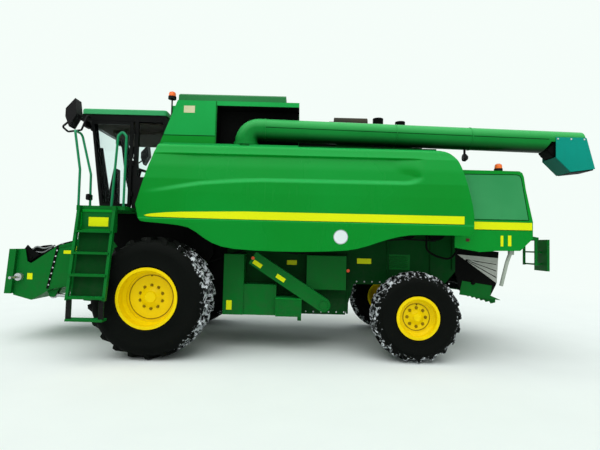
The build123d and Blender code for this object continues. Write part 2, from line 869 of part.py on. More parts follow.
def rung_y(z):
    # the leaning rails' middle at height z
    return ladder_foot_y + (ladder_top_y - ladder_foot_y) * (z - ladder_foot) / (ladder_top - ladder_foot)


with BuildPart() as ladder:
    for x in (ladder_front, ladder_rear):
        with BuildSketch(Plane.YZ.offset(x - 20)):
            with BuildLine():
                Polyline(
                    (ladder_top_y - 25, ladder_top),
                    (ladder_top_y + 25, ladder_top),
                    (ladder_foot_y + 25, ladder_foot),
                    (ladder_foot_y - 25, ladder_foot),
                    close=True,
                )
            make_face()
        extrude(amount=40)
    for z in tread_heights:
        with BuildSketch(Plane.XY.offset(z)):
            with Locations(((ladder_front + ladder_rear) / 2, rung_y(z) - 10)):
                Rectangle(ladder_front - ladder_rear, 120)
        extrude(amount=28)
    # riser panel between the rails
    with BuildSketch(Plane.YZ.offset(ladder_rear)):
        with BuildLine():
            Polyline(
                (rung_y(1790) - 73, 1790),
                (rung_y(1790) - 67, 1790),
                (rung_y(880) - 67, 880),
                (rung_y(880) - 73, 880),
                close=True,
            )
        make_face()
    extrude(amount=ladder_front - ladder_rear)
    for x in (ladder_front - 30, ladder_rear + 30):
        with BuildSketch(Plane.YZ.offset(x - 35)):
            with BuildLine():
                Polyline(
                    (ladder_foot_y - 8, ladder_foot + 30),
                    (ladder_foot_y + 8, ladder_foot + 30),
                    (ladder_foot_y + 8, 600),
                    (ladder_foot_y - 8, 600),
                    close=True,
                )
            make_face()
        extrude(amount=70)
    with BuildSketch(Plane.XY.offset(572)):
        with Locations(((ladder_front + ladder_rear) / 2, ladder_foot_y - 40)):
            Rectangle(ladder_front - ladder_rear, 150)
    extrude(amount=30)
ladder.part.label = "ladder"
export_step(ladder.part, "parts/ladder.step")

# Mirrors: a bent arm from the cab's front corner on each side, with a tall head that tapers
# to its ends. The right one stands out further, because no door swings there and the operator
# looks past the grain tank with it.
mirror_x = ring_front - 140
left_mirror_reach = 350
right_mirror_reach = 955
with BuildPart() as mirrors:
    for side, reach in ((1, left_mirror_reach), (-1, right_mirror_reach)):
        mirror_y = cab_half_width + reach
        with BuildLine() as path:
            FilletPolyline(
                (mirror_x, side * (cab_half_width + seat_gap), cab_ring + ring_height / 2),
                (mirror_x, side * (cab_half_width + 80), cab_ring + ring_height / 2),
                (mirror_x + 40, side * (cab_half_width + 160), cab_ring - 200),
                (mirror_x + 200, side * (mirror_y - 100), cab_ring - 255),
                (mirror_x + 245, side * (mirror_y - 20), cab_ring - 200),
                (mirror_x + 80, side * mirror_y, cab_ring - 70),
                radius=30,
            )
        with BuildSketch(Plane(origin=path.line @ 0, z_dir=path.line % 0)):
            Circle(15)
        sweep(path=path.line)
        with BuildSketch(Plane.XZ.offset(90 - side * mirror_y)):
            with BuildLine():
                Polyline(
                    (mirror_x + 8, cab_ring + 217),
                    (mirror_x + 146, cab_ring + 57),
                    (mirror_x + 147, cab_ring - 68),
                    (mirror_x + 85, cab_ring - 223),
                    (mirror_x - 27, cab_ring - 17),
                    close=True,
                )
            make_face()
        extrude(amount=-180)
mirrors.part.label = "mirrors"
export_step(mirrors.part, "parts/mirrors.step")

# Grain tank: open hopper behind the cab with sloping floors; its upper left side steps in behind
# the front panel to leave room for the unloading elbow, under an overhanging lip.
tank_floor = body_top
trough_half = 230
with BuildPart() as grain_tank:
    with BuildSketch(Plane.XY.offset(tank_floor)):
        with Locations(((tank_front + tank_rear) / 2, 0)):
            Rectangle(tank_front - tank_rear, 2 * trough_half)
    with BuildSketch(Plane.XY.offset(tank_slope_top)):
        with Locations(((tank_front + tank_rear) / 2, (tank_recess_y - tank_half_width) / 2)):
            Rectangle(tank_front - tank_rear, tank_recess_y + tank_half_width)
    loft()
    with BuildSketch(Plane.XY.offset(tank_slope_top)):
        with Locations(((tank_front + tank_rear) / 2, (tank_recess_y - tank_half_width) / 2)):
            Rectangle(tank_front - tank_rear, tank_recess_y + tank_half_width)
    extrude(amount=tank_rim - tank_slope_top)
    with BuildSketch(Plane.XZ.offset(-tank_recess_y)):
        with BuildLine():
            Polyline(
                (tank_recess_front, tank_shoulder),
                (tank_nose, tank_shoulder),
                (tank_nose_top, tank_rim),
                (tank_recess_front, tank_rim),
                close=True,
            )
        make_face()
    extrude(amount=-(tank_half_width - tank_recess_y))
    # inner space
    with BuildSketch(Plane.XY.offset(tank_floor + tank_wall)):
        with Locations(((tank_front + tank_rear) / 2, 0)):
            Rectangle(tank_front - tank_rear - 2 * tank_wall, 2 * trough_half - 2 * tank_wall)
    with BuildSketch(Plane.XY.offset(tank_slope_top + tank_wall)):
        with Locations(((tank_front + tank_rear) / 2, (tank_recess_y - tank_half_width) / 2)):
            Rectangle(
                tank_front - tank_rear - 2 * tank_wall,
                tank_recess_y + tank_half_width - 2 * tank_wall,
            )
    loft(mode=Mode.SUBTRACT)
    with BuildSketch(Plane.XY.offset(tank_slope_top + tank_wall)):
        with Locations(((tank_front + tank_rear) / 2, (tank_recess_y - tank_half_width) / 2)):
            Rectangle(
                tank_front - tank_rear - 2 * tank_wall,
                tank_recess_y + tank_half_width - 2 * tank_wall,
            )
    extrude(amount=tank_rim, mode=Mode.SUBTRACT)
    with BuildSketch(Plane.XZ.offset(-tank_recess_y + tank_wall)):
        with BuildLine():
            Polyline(
                (tank_recess_front + tank_wall, tank_shoulder + tank_wall),
                (tank_nose - 1.5 * tank_wall, tank_shoulder + tank_wall),
                (tank_nose_top - tank_wall, tank_rim + 1),
                (tank_recess_front + tank_wall, tank_rim + 1),
                close=True,
            )
        make_face()
    extrude(amount=-(tank_half_width - tank_recess_y), mode=Mode.SUBTRACT)
    # lip over the elbow
    with BuildSketch(Plane.XY.offset(tank_rim - 70)):
        with Locations(((tank_recess_front + tank_rear) / 2, (tank_recess_y + tank_half_width) / 2)):
            Rectangle(tank_recess_front - tank_rear, tank_half_width - tank_recess_y)
    extrude(amount=70)
    # shoulder that the left shield hangs from, with a hole for the turret
    with BuildSketch(Plane.XY.offset(tank_shoulder - 20)):
        with Locations(((tank_front + tank_rear) / 2, (tank_recess_y + hinge_rail_y) / 2)):
            Rectangle(tank_front - tank_rear, hinge_rail_y - tank_recess_y)
        with Locations((auger_x, auger_y)):
            Circle(auger_radius + 20, mode=Mode.SUBTRACT)
    extrude(amount=20)
    with BuildSketch(Plane.XY.offset(tank_shoulder - 20)):
        with Locations(((tank_front + tank_rear) / 2, (-tank_half_width - hinge_rail_y) / 2)):
            Rectangle(tank_front - tank_rear, hinge_rail_y - tank_half_width)
    extrude(amount=20)
grain_tank.part.label = "grain_tank"
export_step(grain_tank.part, "parts/grain_tank.step")

# Tank covers: two shallow lids, hinged along the tank's sides, that meet in the middle.
cover_height = 130
cover_front = tank_nose_top - 10
cover_rear = 110
covers = [("left", 1), ("right", -1)]
for hand, side in covers:
    with BuildPart() as tank_cover:
        with BuildSketch(Plane.YZ.offset(cover_rear)):
            with BuildLine():
                Polyline(
                    (side * 4, tank_rim + cover_height),
                    (side * (tank_half_width - 90), tank_rim + cover_height),
                    (side * (tank_half_width - 20), tank_rim + cover_height - 40),
                    (side * (tank_half_width - 10), tank_rim + seat_gap),
                    (side * (tank_half_width - 28), tank_rim + seat_gap),
                    (side * (tank_half_width - 40), tank_rim + cover_height - 52),
                    (side * (tank_half_width - 96), tank_rim + cover_height - 16),
                    (side * 4, tank_rim + cover_height - 16),
                    close=True,
                )
            make_face()
        extrude(amount=cover_front - cover_rear)
        for x in (cover_rear, cover_front - 16):
            with BuildSketch(Plane.YZ.offset(x)):
                with BuildLine():
                    Polyline(
                        (side * 4, tank_rim + cover_height - 10),
                        (side * (tank_half_width - 90), tank_rim + cover_height - 10),
                        (side * (tank_half_width - 25), tank_rim + cover_height - 48),
                        (side * (tank_half_width - 20), tank_rim + seat_gap),
                        (side * 4, tank_rim + seat_gap),
                        close=True,
                    )
                make_face()
            extrude(amount=16)
    tank_cover.part.label = f"tank_cover_{hand}"
    export_step(tank_cover.part, f"parts/tank_cover_{hand}.step")

# Filling auger: level tube from the tank's right wall to its middle, with an upturned end, and the
# two cross augers in the trough.
fill_x = 1000
fill_z = tank_shoulder + 130
with BuildPart() as tank_augers:
    with BuildSketch(Plane.XZ.offset(tank_half_width - tank_wall - seat_gap)):
        with Locations((fill_x, fill_z)):
            Circle(110)
    extrude(amount=-(tank_half_width - 90))
    with BuildSketch(Plane.XY.offset(fill_z)):
        with Locations((fill_x, -170)):
            Circle(100)
    extrude(amount=tank_rim - 230 - fill_z)
    for y in (-100, 100):
        with BuildSketch(Plane.YZ.offset(tank_rear + tank_wall + seat_gap)):
            with Locations((y, tank_floor + 115)):
                Circle(30)
        extrude(amount=tank_front - tank_rear - 2 * tank_wall - 2 * seat_gap)
tank_augers.part.label = "tank_augers"
export_step(tank_augers.part, "parts/tank_augers.step")


def slope_at(z):
    # half width of the tank's sloping left floor at height z
    return trough_half + (tank_recess_y - trough_half) * (z - tank_floor) / (tank_slope_top - tank_floor)


# Auger turret: upright tube beside the tank that the unloading auger turns on.
turret_foot = 2360
with BuildPart() as auger_turret:
    with BuildSketch(Plane.XY.offset(turret_foot)):
        with Locations((auger_x, auger_y)):
            Circle(auger_radius)
    extrude(amount=auger_seam - seat_gap - 26 - turret_foot)
    with BuildSketch(Plane.XY.offset(auger_seam - seat_gap - 26)):
        with Locations((auger_x, auger_y)):
            Circle(auger_radius + 18)
    extrude(amount=26)
    with BuildSketch(Plane.YZ.offset(auger_x - 150)):
        with BuildLine():
            Polyline(
                (auger_y, turret_foot),
                (auger_y, turret_foot + 140),
                (slope_at(turret_foot + 140) + 1, turret_foot + 140),
                (slope_at(turret_foot) + 1, turret_foot),
                close=True,
            )
        make_face()
    extrude(amount=300)
auger_turret.part.label = "auger_turret"
export_step(auger_turret.part, "parts/auger_turret.step")

# Unloading auger: elbow on the turret and the long tube that lies along the machine's side.
droop = math.tan(math.radians(auger_droop))
tube_end_z = auger_height - (auger_x - auger_end) * droop
tube_axis = Vector(-1, 0, -droop).normalized()
tube_end = Vector(auger_end, auger_y, tube_end_z)
turn = 90 + auger_droop
corner_run = auger_bend * math.tan(math.radians(turn / 2))
bend_start = auger_height - corner_run
tube_start = Vector(auger_x, auger_y, auger_height) + tube_axis * corner_run
with BuildPart() as unloading_auger:
    with BuildSketch(Plane.XY.offset(auger_seam)):
        with Locations((auger_x, auger_y)):
            Circle(auger_radius)
            Circle(auger_radius - auger_wall, mode=Mode.SUBTRACT)
    extrude(amount=bend_start - auger_seam)
    with BuildSketch(Plane.XY.offset(bend_start)):
        with Locations((auger_x, auger_y)):
            Circle(auger_radius)
            Circle(auger_radius - auger_wall, mode=Mode.SUBTRACT)
    revolve(axis=Axis((auger_x - auger_bend, auger_y, bend_start), (0, -1, 0)), revolution_arc=turn)
    with BuildSketch(Plane(origin=tube_start, z_dir=tube_axis)):
        Circle(auger_radius)
        Circle(auger_radius - auger_wall, mode=Mode.SUBTRACT)
    extrude(amount=(tube_end - tube_start).length)
    with BuildSketch(Plane.XY.offset(auger_seam)):
        with Locations((auger_x, auger_y)):
            Circle(auger_radius + 18)
            Circle(auger_radius - auger_wall, mode=Mode.SUBTRACT)
    extrude(amount=24)
    # closed end, and the mouth cut out of the underside
    with BuildSketch(Plane(origin=tube_end, z_dir=tube_axis)):
        Circle(auger_radius)
    extrude(amount=-12)
    with BuildSketch(Plane.XZ.offset(-(auger_y - auger_radius))):
        with BuildLine():
            Polyline(
                (auger_end + 30, tube_end_z - 20),
                (auger_end + 520, tube_end_z - 20),
                (auger_end + 620, tube_end_z - auger_radius - 20),
                (auger_end + 30, tube_end_z - auger_radius - 20),
                close=True,
            )
        make_face()
    extrude(amount=-2 * auger_radius, mode=Mode.SUBTRACT)
unloading_auger.part.label = "unloading_auger"
export_step(unloading_auger.part, "parts/unloading_auger.step")

# Spout boot: rubber hood round the tube's mouth.
boot_half = auger_radius + 14
boot_wall = 10
prow_root = auger_end + 465
with BuildPart() as spout_boot:
    with BuildSketch(Plane.XZ.offset(-(auger_y - boot_half))):
        with BuildLine():
            Polyline(
                (auger_end + 470, tube_end_z + 45),
                (auger_end - 40, tube_end_z + 45),
                (auger_end - 155, tube_end_z - 440),
                (auger_end + 245, tube_end_z - 490),
                (auger_end + 610, tube_end_z - 155),
                close=True,
            )
        make_face()
    extrude(amount=-2 * boot_half)
    with BuildSketch(Plane.XZ.offset(-(auger_y - boot_half + boot_wall))):
        with BuildLine():
            Polyline(
                (prow_root - 25, tube_end_z + 95),
                (auger_end - 30, tube_end_z + 95),
                (auger_end - 147, tube_end_z - 475),
                (auger_end + 242, tube_end_z - 505),
                (prow_root - 25, tube_end_z - 308),
                close=True,
            )
        make_face()
    extrude(amount=-2 * (boot_half - boot_wall), mode=Mode.SUBTRACT)
    # the front end tapers to a prow below the tube
    with BuildSketch(Plane.XY.offset(tube_end_z - 600)):
        with BuildLine():
            Polyline(
                (auger_end - 300, auger_y - boot_half),
                (prow_root, auger_y - boot_half),
                (prow_root + 165, auger_y),
                (prow_root, auger_y + boot_half),
                (auger_end - 300, auger_y + boot_half),
                close=True,
            )
        make_face()
    extrude(amount=800, mode=Mode.INTERSECT)
    with BuildSketch(Plane(origin=(auger_end - 200, auger_y, tube_end_z - 200 * droop),
                           z_dir=tube_axis)):
        Circle(auger_radius + seat_gap)
    extrude(amount=-1000, mode=Mode.SUBTRACT)
spout_boot.part.label = "spout_boot"
export_step(spout_boot.part, "parts/spout_boot.step")

# Side shields: large moulded panels, hinged along their top edges, bowed outwards down to a crease
# and cut in a long wave along the bottom.
shield_edge = [
    (shield_hinge_y + 11, shield_hinge_z + 4),
    (shield_hinge_y + 53, shield_hinge_z - 22),
    (shield_hinge_y + 90, shield_hinge_z - 155),
    (shield_hinge_y + 115, shield_hinge_z - 180),
    (shield_hinge_y + 165, shield_hinge_z - 520),
    (shield_hinge_y + 200, shield_hinge_z - 600),
    (shield_hinge_y + 200, 2050),
    (shield_hinge_y + 150, shield_bottom - 30),
]
shield_outline = [
    (shield_front, shield_hinge_z + 20),
    (sill_rear, shield_hinge_z + 20),
    (sill_rear - 120, shield_hinge_z - 15),
    (sill_rear - 225, shield_hinge_z - 75),
    (sill_rear - 295, shield_hinge_z - 170),
    (sill_rear - 335, shield_hinge_z - 280),
    (shield_rear + 60, 2480),
    (shield_rear, 2190),
    (shield_rear + 5, 1930),
    (shield_rear + 40, 1870),
    (-1930, 1860),
    (-1660, 1840),
    (-1420, 1790),
    (-1040, 1620),
    (-790, 1590),
    (-200, 1560),
    (400, 1565),
    (770, 1585),
    (990, 1620),
    (1150, 1690),
    (1300, 1800),
    (1440, 1885),
    (2165, 1955),
    (2250, 2220),
]
right_outline = [
    (shield_front, shield_hinge_z + 20),
    (-760, shield_hinge_z + 20),
    (-760, 1590),
    (-200, 1560),
    (400, 1565),
    (770, 1585),
    (990, 1620),
    (1150, 1690),
    (1300, 1800),
    (1440, 1885),
    (2165, 1955),
    (2250, 2220),
]
for hand, side, outline in (("left", 1, shield_outline), ("right", -1, right_outline)):
    with BuildPart() as shield:
        with BuildSketch(Plane.YZ.offset(shield_rear - 20)):
            with BuildLine():
                Polyline(
                    *[(side * y, z) for y, z in shield_edge],
                    *[(side * (y - shield_thickness), z - 8) for y, z in reversed(shield_edge)],
                    close=True,
                )
            make_face()
        extrude(amount=5000)
        with BuildSketch(Plane.XZ.offset(-side * 1000)):
            with BuildLine():
                Polyline(*outline, close=True)
            make_face()
        extrude(amount=-side * 700, mode=Mode.INTERSECT)
    shield.part.label = f"shield_{hand}"
    export_step(shield.part, f"parts/shield_{hand}.step")

# Engine deck: floor, sills and rear frame behind the tank, with the radiator housing on the
# right side.
deck_top = 2200
deck_front = tank_rear - seat_gap
deck_rear = hood_front - 50
screen_y = tank_recess_y - 40
# front, rear and top of each screen
screens = [
    (deck_front - 600, -1280, 3300),
    (-1480, -1930, 3300),
]
with BuildPart() as engine_deck:
    with BuildSketch(Plane.XY.offset(body_top)):
        with Locations(((deck_front + deck_rear) / 2, 0)):
            Rectangle(deck_front - deck_rear, 2 * (hood_half_width - hood_wall - seat_gap))
    extrude(amount=deck_top - body_top)
    for side in (1, -1):
        with BuildSketch(Plane.XY.offset(tank_shoulder - 60)):
            with Locations(((deck_front + sill_rear) / 2, side * (hinge_rail_y - 30))):
                Rectangle(deck_front - sill_rear, 60)
        extrude(amount=60)
        post_y = side * (hinge_rail_y - 50)
        with BuildSketch(Plane.XY.offset(deck_top)):
            with Locations((deck_front - 40, post_y), (sill_rear + 30, post_y)):
                Rectangle(60, 40)
        extrude(amount=tank_shoulder - 60 - deck_top)
    # screens between the engine and the unloading tube
    for screen_front, screen_rear, screen_top in screens:
        with BuildSketch(Plane.XY.offset(deck_top)):
            with Locations(((screen_front + screen_rear) / 2, screen_y)):
                Rectangle(screen_front - screen_rear, 20)
        extrude(amount=screen_top - deck_top)
    with BuildSketch(Plane.XY.offset(deck_top)):
        with Locations((-1600, -1040)):
            Rectangle(1500, 340)
    extrude(amount=850)
    with BuildSketch(Plane.XZ.offset(1210)):
        with Locations((-1600, 2640)):
            Circle(400)
    extrude(amount=-120, mode=Mode.SUBTRACT)
engine_deck.part.label = "engine_deck"
export_step(engine_deck.part, "parts/engine_deck.step")

# Rotary screen: perforated drum that cleans the air ahead of the radiator.
with BuildPart() as rotary_screen:
    with BuildSketch(Plane.XZ.offset(1100)):
        with Locations((-1600, 2640)):
            Circle(380)
    extrude(amount=150)
    with BuildSketch(Plane.XZ.offset(1100)):
        with Locations((-1600, 2640)):
            Circle(365)
    extrude(amount=135, mode=Mode.SUBTRACT)
    with BuildSketch(Plane.XZ.offset(1090 + seat_gap)):
        with Locations((-1600, 2640)):
            Circle(40)
    extrude(amount=158)
rotary_screen.part.label = "rotary_screen"
export_step(rotary_screen.part, "parts/rotary_screen.step")

# Engine: one block across the deck, with the air intake's and the breather's upright pipes.
engine_x = -1600
engine_height = 700
# pipe x, cap radius, cap height, top z
stacks = [
    (engine_x + 65, 95, 150, 4010),
    (engine_x - 340, 90, 90, 3960),
]
with BuildPart() as engine_block:
    with BuildSketch(Plane.XY.offset(deck_top)):
        with Locations((engine_x, -100)):
            Rectangle(800, 1300)
    extrude(amount=engine_height)
    for x, cap_radius, cap_height, top in stacks:
        with BuildSketch(Plane.XY.offset(deck_top + engine_height)):
            with Locations((x, 0)):
                Circle(45)
        extrude(amount=top - deck_top - engine_height)
        with BuildSketch(Plane.XY.offset(top - cap_height)):
            with Locations((x, 0)):
                Circle(cap_radius)
        extrude(amount=cap_height)
engine_block.part.label = "engine_block"
export_step(engine_block.part, "parts/engine_block.step")

# Exhaust: silencer lying high over the deck on two legs, with a short tail pipe at its front.
silencer_z = 3890
silencer_radius = 120
with BuildPart() as exhaust:
    with BuildSketch(Plane.YZ.offset(-1330)):
        with Locations((0, silencer_z)):
            Circle(silencer_radius)
    extrude(amount=600)
    with BuildSketch(Plane.YZ.offset(-740)):
        with Locations((0, silencer_z)):
            Circle(50)
    extrude(amount=100)
    with BuildSketch(Plane.XY.offset(deck_top)):
        with Locations((-850, 0), (-1120, 0)):
            Rectangle(60, 60)
    extrude(amount=silencer_z - silencer_radius / 2 - deck_top)
exhaust.part.label = "exhaust"
export_step(exhaust.part, "parts/exhaust.step")

# Rear hood: sheet metal hood over the straw outlet, open below and in front.
hood_outline = [
    (hood_front, 1690),
    (hood_front, hood_top),
    (hood_rear + 205, hood_top),
    (hood_rear + 160, hood_top - 25),
    (hood_rear + 135, hood_top - 85),
    (hood_rear + 105, 2583),
    (hood_rear, 2105),
    (hood_rear, 1850),
    (hood_rear + 190, 1664),
    (-3110, 1655),
    (-2860, 1634),
]
hood_space = [
    (hood_front + 50, 1500),
    (hood_front + 50, hood_top - hood_wall),
    (hood_rear + 211, hood_top - hood_wall),
    (hood_rear + 176, hood_top - 39),
    (hood_rear + 154, hood_top - 90),
    (hood_rear + 125, 2583),
    (hood_rear + hood_wall, 2107),
    (hood_rear + hood_wall, 1500),
]
with BuildPart() as rear_hood:
    with BuildSketch(Plane.XZ):
        with BuildLine():
            Polyline(*hood_outline, close=True)
        make_face()
    extrude(amount=hood_half_width, both=True)
    with BuildSketch(Plane.XZ):
        with BuildLine():
            Polyline(*hood_space, close=True)
        make_face()
    extrude(amount=hood_half_width - hood_wall, both=True, mode=Mode.SUBTRACT)
rear_hood.part.label = "rear_hood"
export_step(rear_hood.part, "parts/rear_hood.step")

# Chopper housing: two side plates behind the body with a bent back, open below.
chopper_x = -2990
chopper_z = 1130
plate_y = body_half_width
housing_rear = -3410
with BuildPart() as chopper_housing:
    with BuildSketch(Plane.XZ.offset(-plate_y)):
        with BuildLine():
            Polyline(
                (body_rear - seat_gap, 1700),
                (housing_rear, 1640),
                (housing_rear + 40, 1110),
                (-3260, 890),
                (-2790, 950),
                (body_rear - seat_gap, 1300),
                close=True,
            )
        make_face()
        with Locations((chopper_x, chopper_z)):
            Circle(30 + shaft_gap, mode=Mode.SUBTRACT)
    extrude(amount=14)
    mirror(about=Plane.XZ)
    with BuildSketch(Plane.XZ):
        with BuildLine():
            Polyline(
                (-3270, 900),
                (housing_rear + 44, 1110),
                (housing_rear + 25, 1300),
                (housing_rear + 40, 1300),
                (housing_rear + 59, 1113),
                (-3256, 906),
                close=True,
            )
        make_face()
    extrude(amount=plate_y - 14, both=True)
chopper_housing.part.label = "chopper_housing"
export_step(chopper_housing.part, "parts/chopper_housing.step")

# Chopper side plates: three-cornered zinc sheets outside the housing, each stiffened by three
# pressed ribs that fan out from its front corner.
side_sheet = 6
fan_tip = (-2735, 1582)
with BuildPart() as chopper_sides:
    with BuildSketch(Plane.XZ.offset(-(plate_y + seat_gap))):
        with BuildLine():
            Polyline(fan_tip, (housing_rear + 12, 1537), (housing_rear + 32, 1128), close=True)
        make_face()
    extrude(amount=-side_sheet)
    for rib_tip, rib_end in ((1540, 1455), (1524, 1350), (1508, 1245)):
        tip = Vector(fan_tip[0] - 125, rib_tip)
        end = Vector(housing_rear + 34, rib_end)
        across = Vector(tip.Y - end.Y, end.X - tip.X).normalized() * 13
        with BuildSketch(Plane.XZ.offset(-(plate_y + seat_gap + side_sheet))):
            with BuildLine():
                Polyline(
                    (tip.X, tip.Y),
                    (end.X + across.X, end.Y + across.Y),
                    (end.X - across.X, end.Y - across.Y),
                    close=True,
                )
            make_face()
        extrude(amount=-8)
    mirror(about=Plane.XZ)
chopper_sides.part.label = "chopper_sides"
export_step(chopper_sides.part, "parts/chopper_sides.step")

# Tailboard: spreader below the chopper, two zinc wings joined by a sloping board that carries
# guide fins.
with BuildPart() as tailboard:
    with BuildSketch(Plane.XZ.offset(-(plate_y + seat_gap))):
        with BuildLine():
            Polyline(
                (-2815, 1155),
                (housing_rear + 113, 1088),
                (housing_rear + 135, 930),
                (housing_rear - 25, 862),
                (housing_rear + 155, 874),
                (-2768, 932),
                close=True,
            )
        make_face()
        with Locations((chopper_x, chopper_z)):
            Circle(30 + move_gap + 2, mode=Mode.SUBTRACT)
    extrude(amount=-side_sheet)
    mirror(about=Plane.XZ)
    # the board passes behind the housing's back
    with BuildSketch(Plane.XZ):
        with BuildLine():
            Polyline(
                (housing_rear + 135, 884),
                (housing_rear - 22, 866),
                (housing_rear - 22, 858),
                (housing_rear + 135, 874),
                close=True,
            )
        make_face()
    extrude(amount=plate_y + seat_gap + side_sheet, both=True)
    for step in range(-3, 4):
        with BuildSketch(Plane.XZ.offset(-step * 190 - 3)):
            with BuildLine():
                Polyline(
                    (housing_rear + 130, 878),
                    (housing_rear - 15, 864),
                    (housing_rear - 15, 800),
                    (housing_rear + 60, 780),
                    close=True,
                )
            make_face()
        extrude(amount=6)
tailboard.part.label = "tailboard"
export_step(tailboard.part, "parts/tailboard.step")

# Chopper rotor: drum across the outlet with rows of knives.
rotor_length = 2 * (plate_y - 14) - 30
with BuildPart() as chopper_rotor:
    with BuildSketch(Plane.XZ):
        with Locations((chopper_x, chopper_z)):
            Circle(80)
    extrude(amount=rotor_length / 2, both=True)
    with BuildSketch(Plane.XZ):
        with Locations((chopper_x, chopper_z)):
            Circle(30)
    extrude(amount=plate_y + 30, both=True)
    for row in range(4):
        turn = 90 * row
        out = Plane(
            origin=(chopper_x, 0, chopper_z),
            x_dir=(0, 1, 0),
            z_dir=(math.cos(math.radians(turn)), 0, math.sin(math.radians(turn))),
        )
        with BuildSketch(out.offset(70)):
            with GridLocations(rotor_length / 8, 1, 8, 1):
                with Locations((row * 20 - 30, 0)):
                    Rectangle(10, 50)
        extrude(amount=110)
chopper_rotor.part.label = "chopper_rotor"
export_step(chopper_rotor.part, "parts/chopper_rotor.step")

# Side drives: pulleys and belts beside the body, on both sides.
# pulley x, z, radius, width
pulleys = [
    (1450, 1560, 240, 110),
    (620, 1780, 150, 110),
    (-150, 1700, 170, 90),
    (-1330, 1925, 150, 90),
    (-1900, 1940, 130, 90),
    (-2350, 1935, 140, 90),
]
with BuildPart() as belt_drives:
    for x, z, r, wide in pulleys:
        with BuildSketch(Plane.XZ.offset(-(body_half_width + seat_gap))):
            with Locations((x, z)):
                Circle(45)
        extrude(amount=-60)
        with BuildSketch(Plane.XZ.offset(-(body_half_width + 60))):
            with Locations((x, z)):
                Circle(r)
        extrude(amount=-wide)
    mirror(about=Plane.XZ)
belt_drives.part.label = "belt_drives"
export_step(belt_drives.part, "parts/belt_drives.step")

# Lower guards: boxes and sheets along the body's lower sides, and the toolbox on the left.
# rear x, front x, bottom z, top z, outer y
guards = [
    (700, 1015, 565, 1500, 1000),
    (190, 700 - seat_gap, 565, 1040, 980),
    (-900, -280, 980, 1510, 960),
]
with BuildPart() as lower_guards:
    for rear, front, low, high, outer in guards:
        with BuildSketch(Plane.XZ.offset(-(body_half_width + seat_gap))):
            with Locations(((rear + front) / 2, (low + high) / 2)):
                Rectangle(front - rear, high - low)
        extrude(amount=-(outer - body_half_width - seat_gap))
    mirror(about=Plane.XZ)
    with BuildSketch(Plane.XZ.offset(-(body_half_width + seat_gap))):
        with Locations((-10, 702)):
            Rectangle(400 - 2 * seat_gap, 264)
    extrude(amount=-380)
    with BuildSketch(Plane.XZ.offset(-960)):
        with Locations((-180, 530 - seat_gap)):
            Rectangle(60, 80)
    extrude(amount=200)
lower_guards.part.label = "lower_guards"
export_step(lower_guards.part, "parts/lower_guards.step")

# Drive shield: long round-ended cover that slants down across the left side.
drive_low = (-545, 760)
drive_high = (560, 1460)
drive_half = 105
with BuildPart() as drive_shield:
    run = Vector(drive_high[0] - drive_low[0], drive_high[1] - drive_low[1]).normalized()
    off = Vector(-run.Y, run.X) * drive_half
    low_end = Vector(*drive_low)
    high_end = Vector(*drive_high)
    with BuildSketch(Plane.XZ.offset(-(1000 + seat_gap))):
        with BuildLine():
            Line(low_end + off, high_end + off)
            Line(high_end + off, high_end - off)
            Line(high_end - off, low_end - off)
            ThreePointArc(low_end - off, low_end - run * drive_half, low_end + off)
        make_face()
    extrude(amount=-120)
    with BuildSketch(Plane.XZ.offset(-(body_half_width + seat_gap))):
        with Locations((drive_low[0] + 60, drive_low[1] + 40), (100, 1190)):
            Circle(30)
    extrude(amount=-(280 + seat_gap))
drive_shield.part.label = "drive_shield"
export_step(drive_shield.part, "parts/drive_shield.step")

# Grain elevator: tall narrow duct up the right side, into the tank.
with BuildPart() as grain_elevator:
    with BuildSketch(Plane.XZ.offset(tank_half_width + seat_gap)):
        with BuildLine():
            Polyline(
                (fill_x, 1560),
                (fill_x - 300, 1560),
                (fill_x - 140, tank_shoulder - 30),
                (fill_x + 140, tank_shoulder - 30),
                close=True,
            )
        make_face()
    extrude(amount=70)
grain_elevator.part.label = "grain_elevator"
export_step(grain_elevator.part, "parts/grain_elevator.step")

# Rear ladder: folded step frame that stands off the hood's rear wall.
stile_x = hood_rear - 390
with BuildPart() as rear_ladder:
    for y in (330, 690):
        with BuildSketch(Plane.XZ.offset(-y)):
            with BuildLine():
                Polyline(
                    (hood_rear - seat_gap, 1960),
                    (stile_x - 40, 1890),
                    (stile_x - 40, 1850),
                    (hood_rear - seat_gap, 1850),
                    close=True,
                )
            make_face()
        extrude(amount=20)
        with BuildSketch(Plane.XZ.offset(-y)):
            with Locations((stile_x, 1640)):
                Rectangle(40, 420)
        extrude(amount=20)
    for z in (1440, 1640, 1840):
        with BuildSketch(Plane.XY.offset(z)):
            with Locations((stile_x, 500)):
                Rectangle(40, 340)
        extrude(amount=24)
    with BuildSketch(Plane.YZ.offset(stile_x - 220)):
        with Locations((500, 1600)):
            Rectangle(380, 520)
    extrude(amount=40)
    for z in (1440, 1640):
        with BuildSketch(Plane.XY.offset(z)):
            with Locations((stile_x - 100, 500)):
                Rectangle(160, 60)
        extrude(amount=24)
rear_ladder.part.label = "rear_ladder"
export_step(rear_ladder.part, "parts/rear_ladder.step")

# Tow hitch: drawbar clevis under the body's tail.
with BuildPart() as tow_hitch:
    for z in (880, 970):
        with BuildSketch(Plane.XY.offset(z)):
            with BuildLine():
                Polyline(
                    (-2120, 90),
                    (-2560, 60),
                    (-2560, -60),
                    (-2120, -90),
                    close=True,
                )
            make_face()
            with Locations((-2500, 0)):
                Circle(20, mode=Mode.SUBTRACT)
        extrude(amount=25)
    with BuildSketch(Plane.XY.offset(880)):
        with Locations((-2220, 0)):
            Rectangle(200, 180)
    extrude(amount=body_rear_bottom - 880)
tow_hitch.part.label = "tow_hitch"
export_step(tow_hitch.part, "parts/tow_hitch.step")


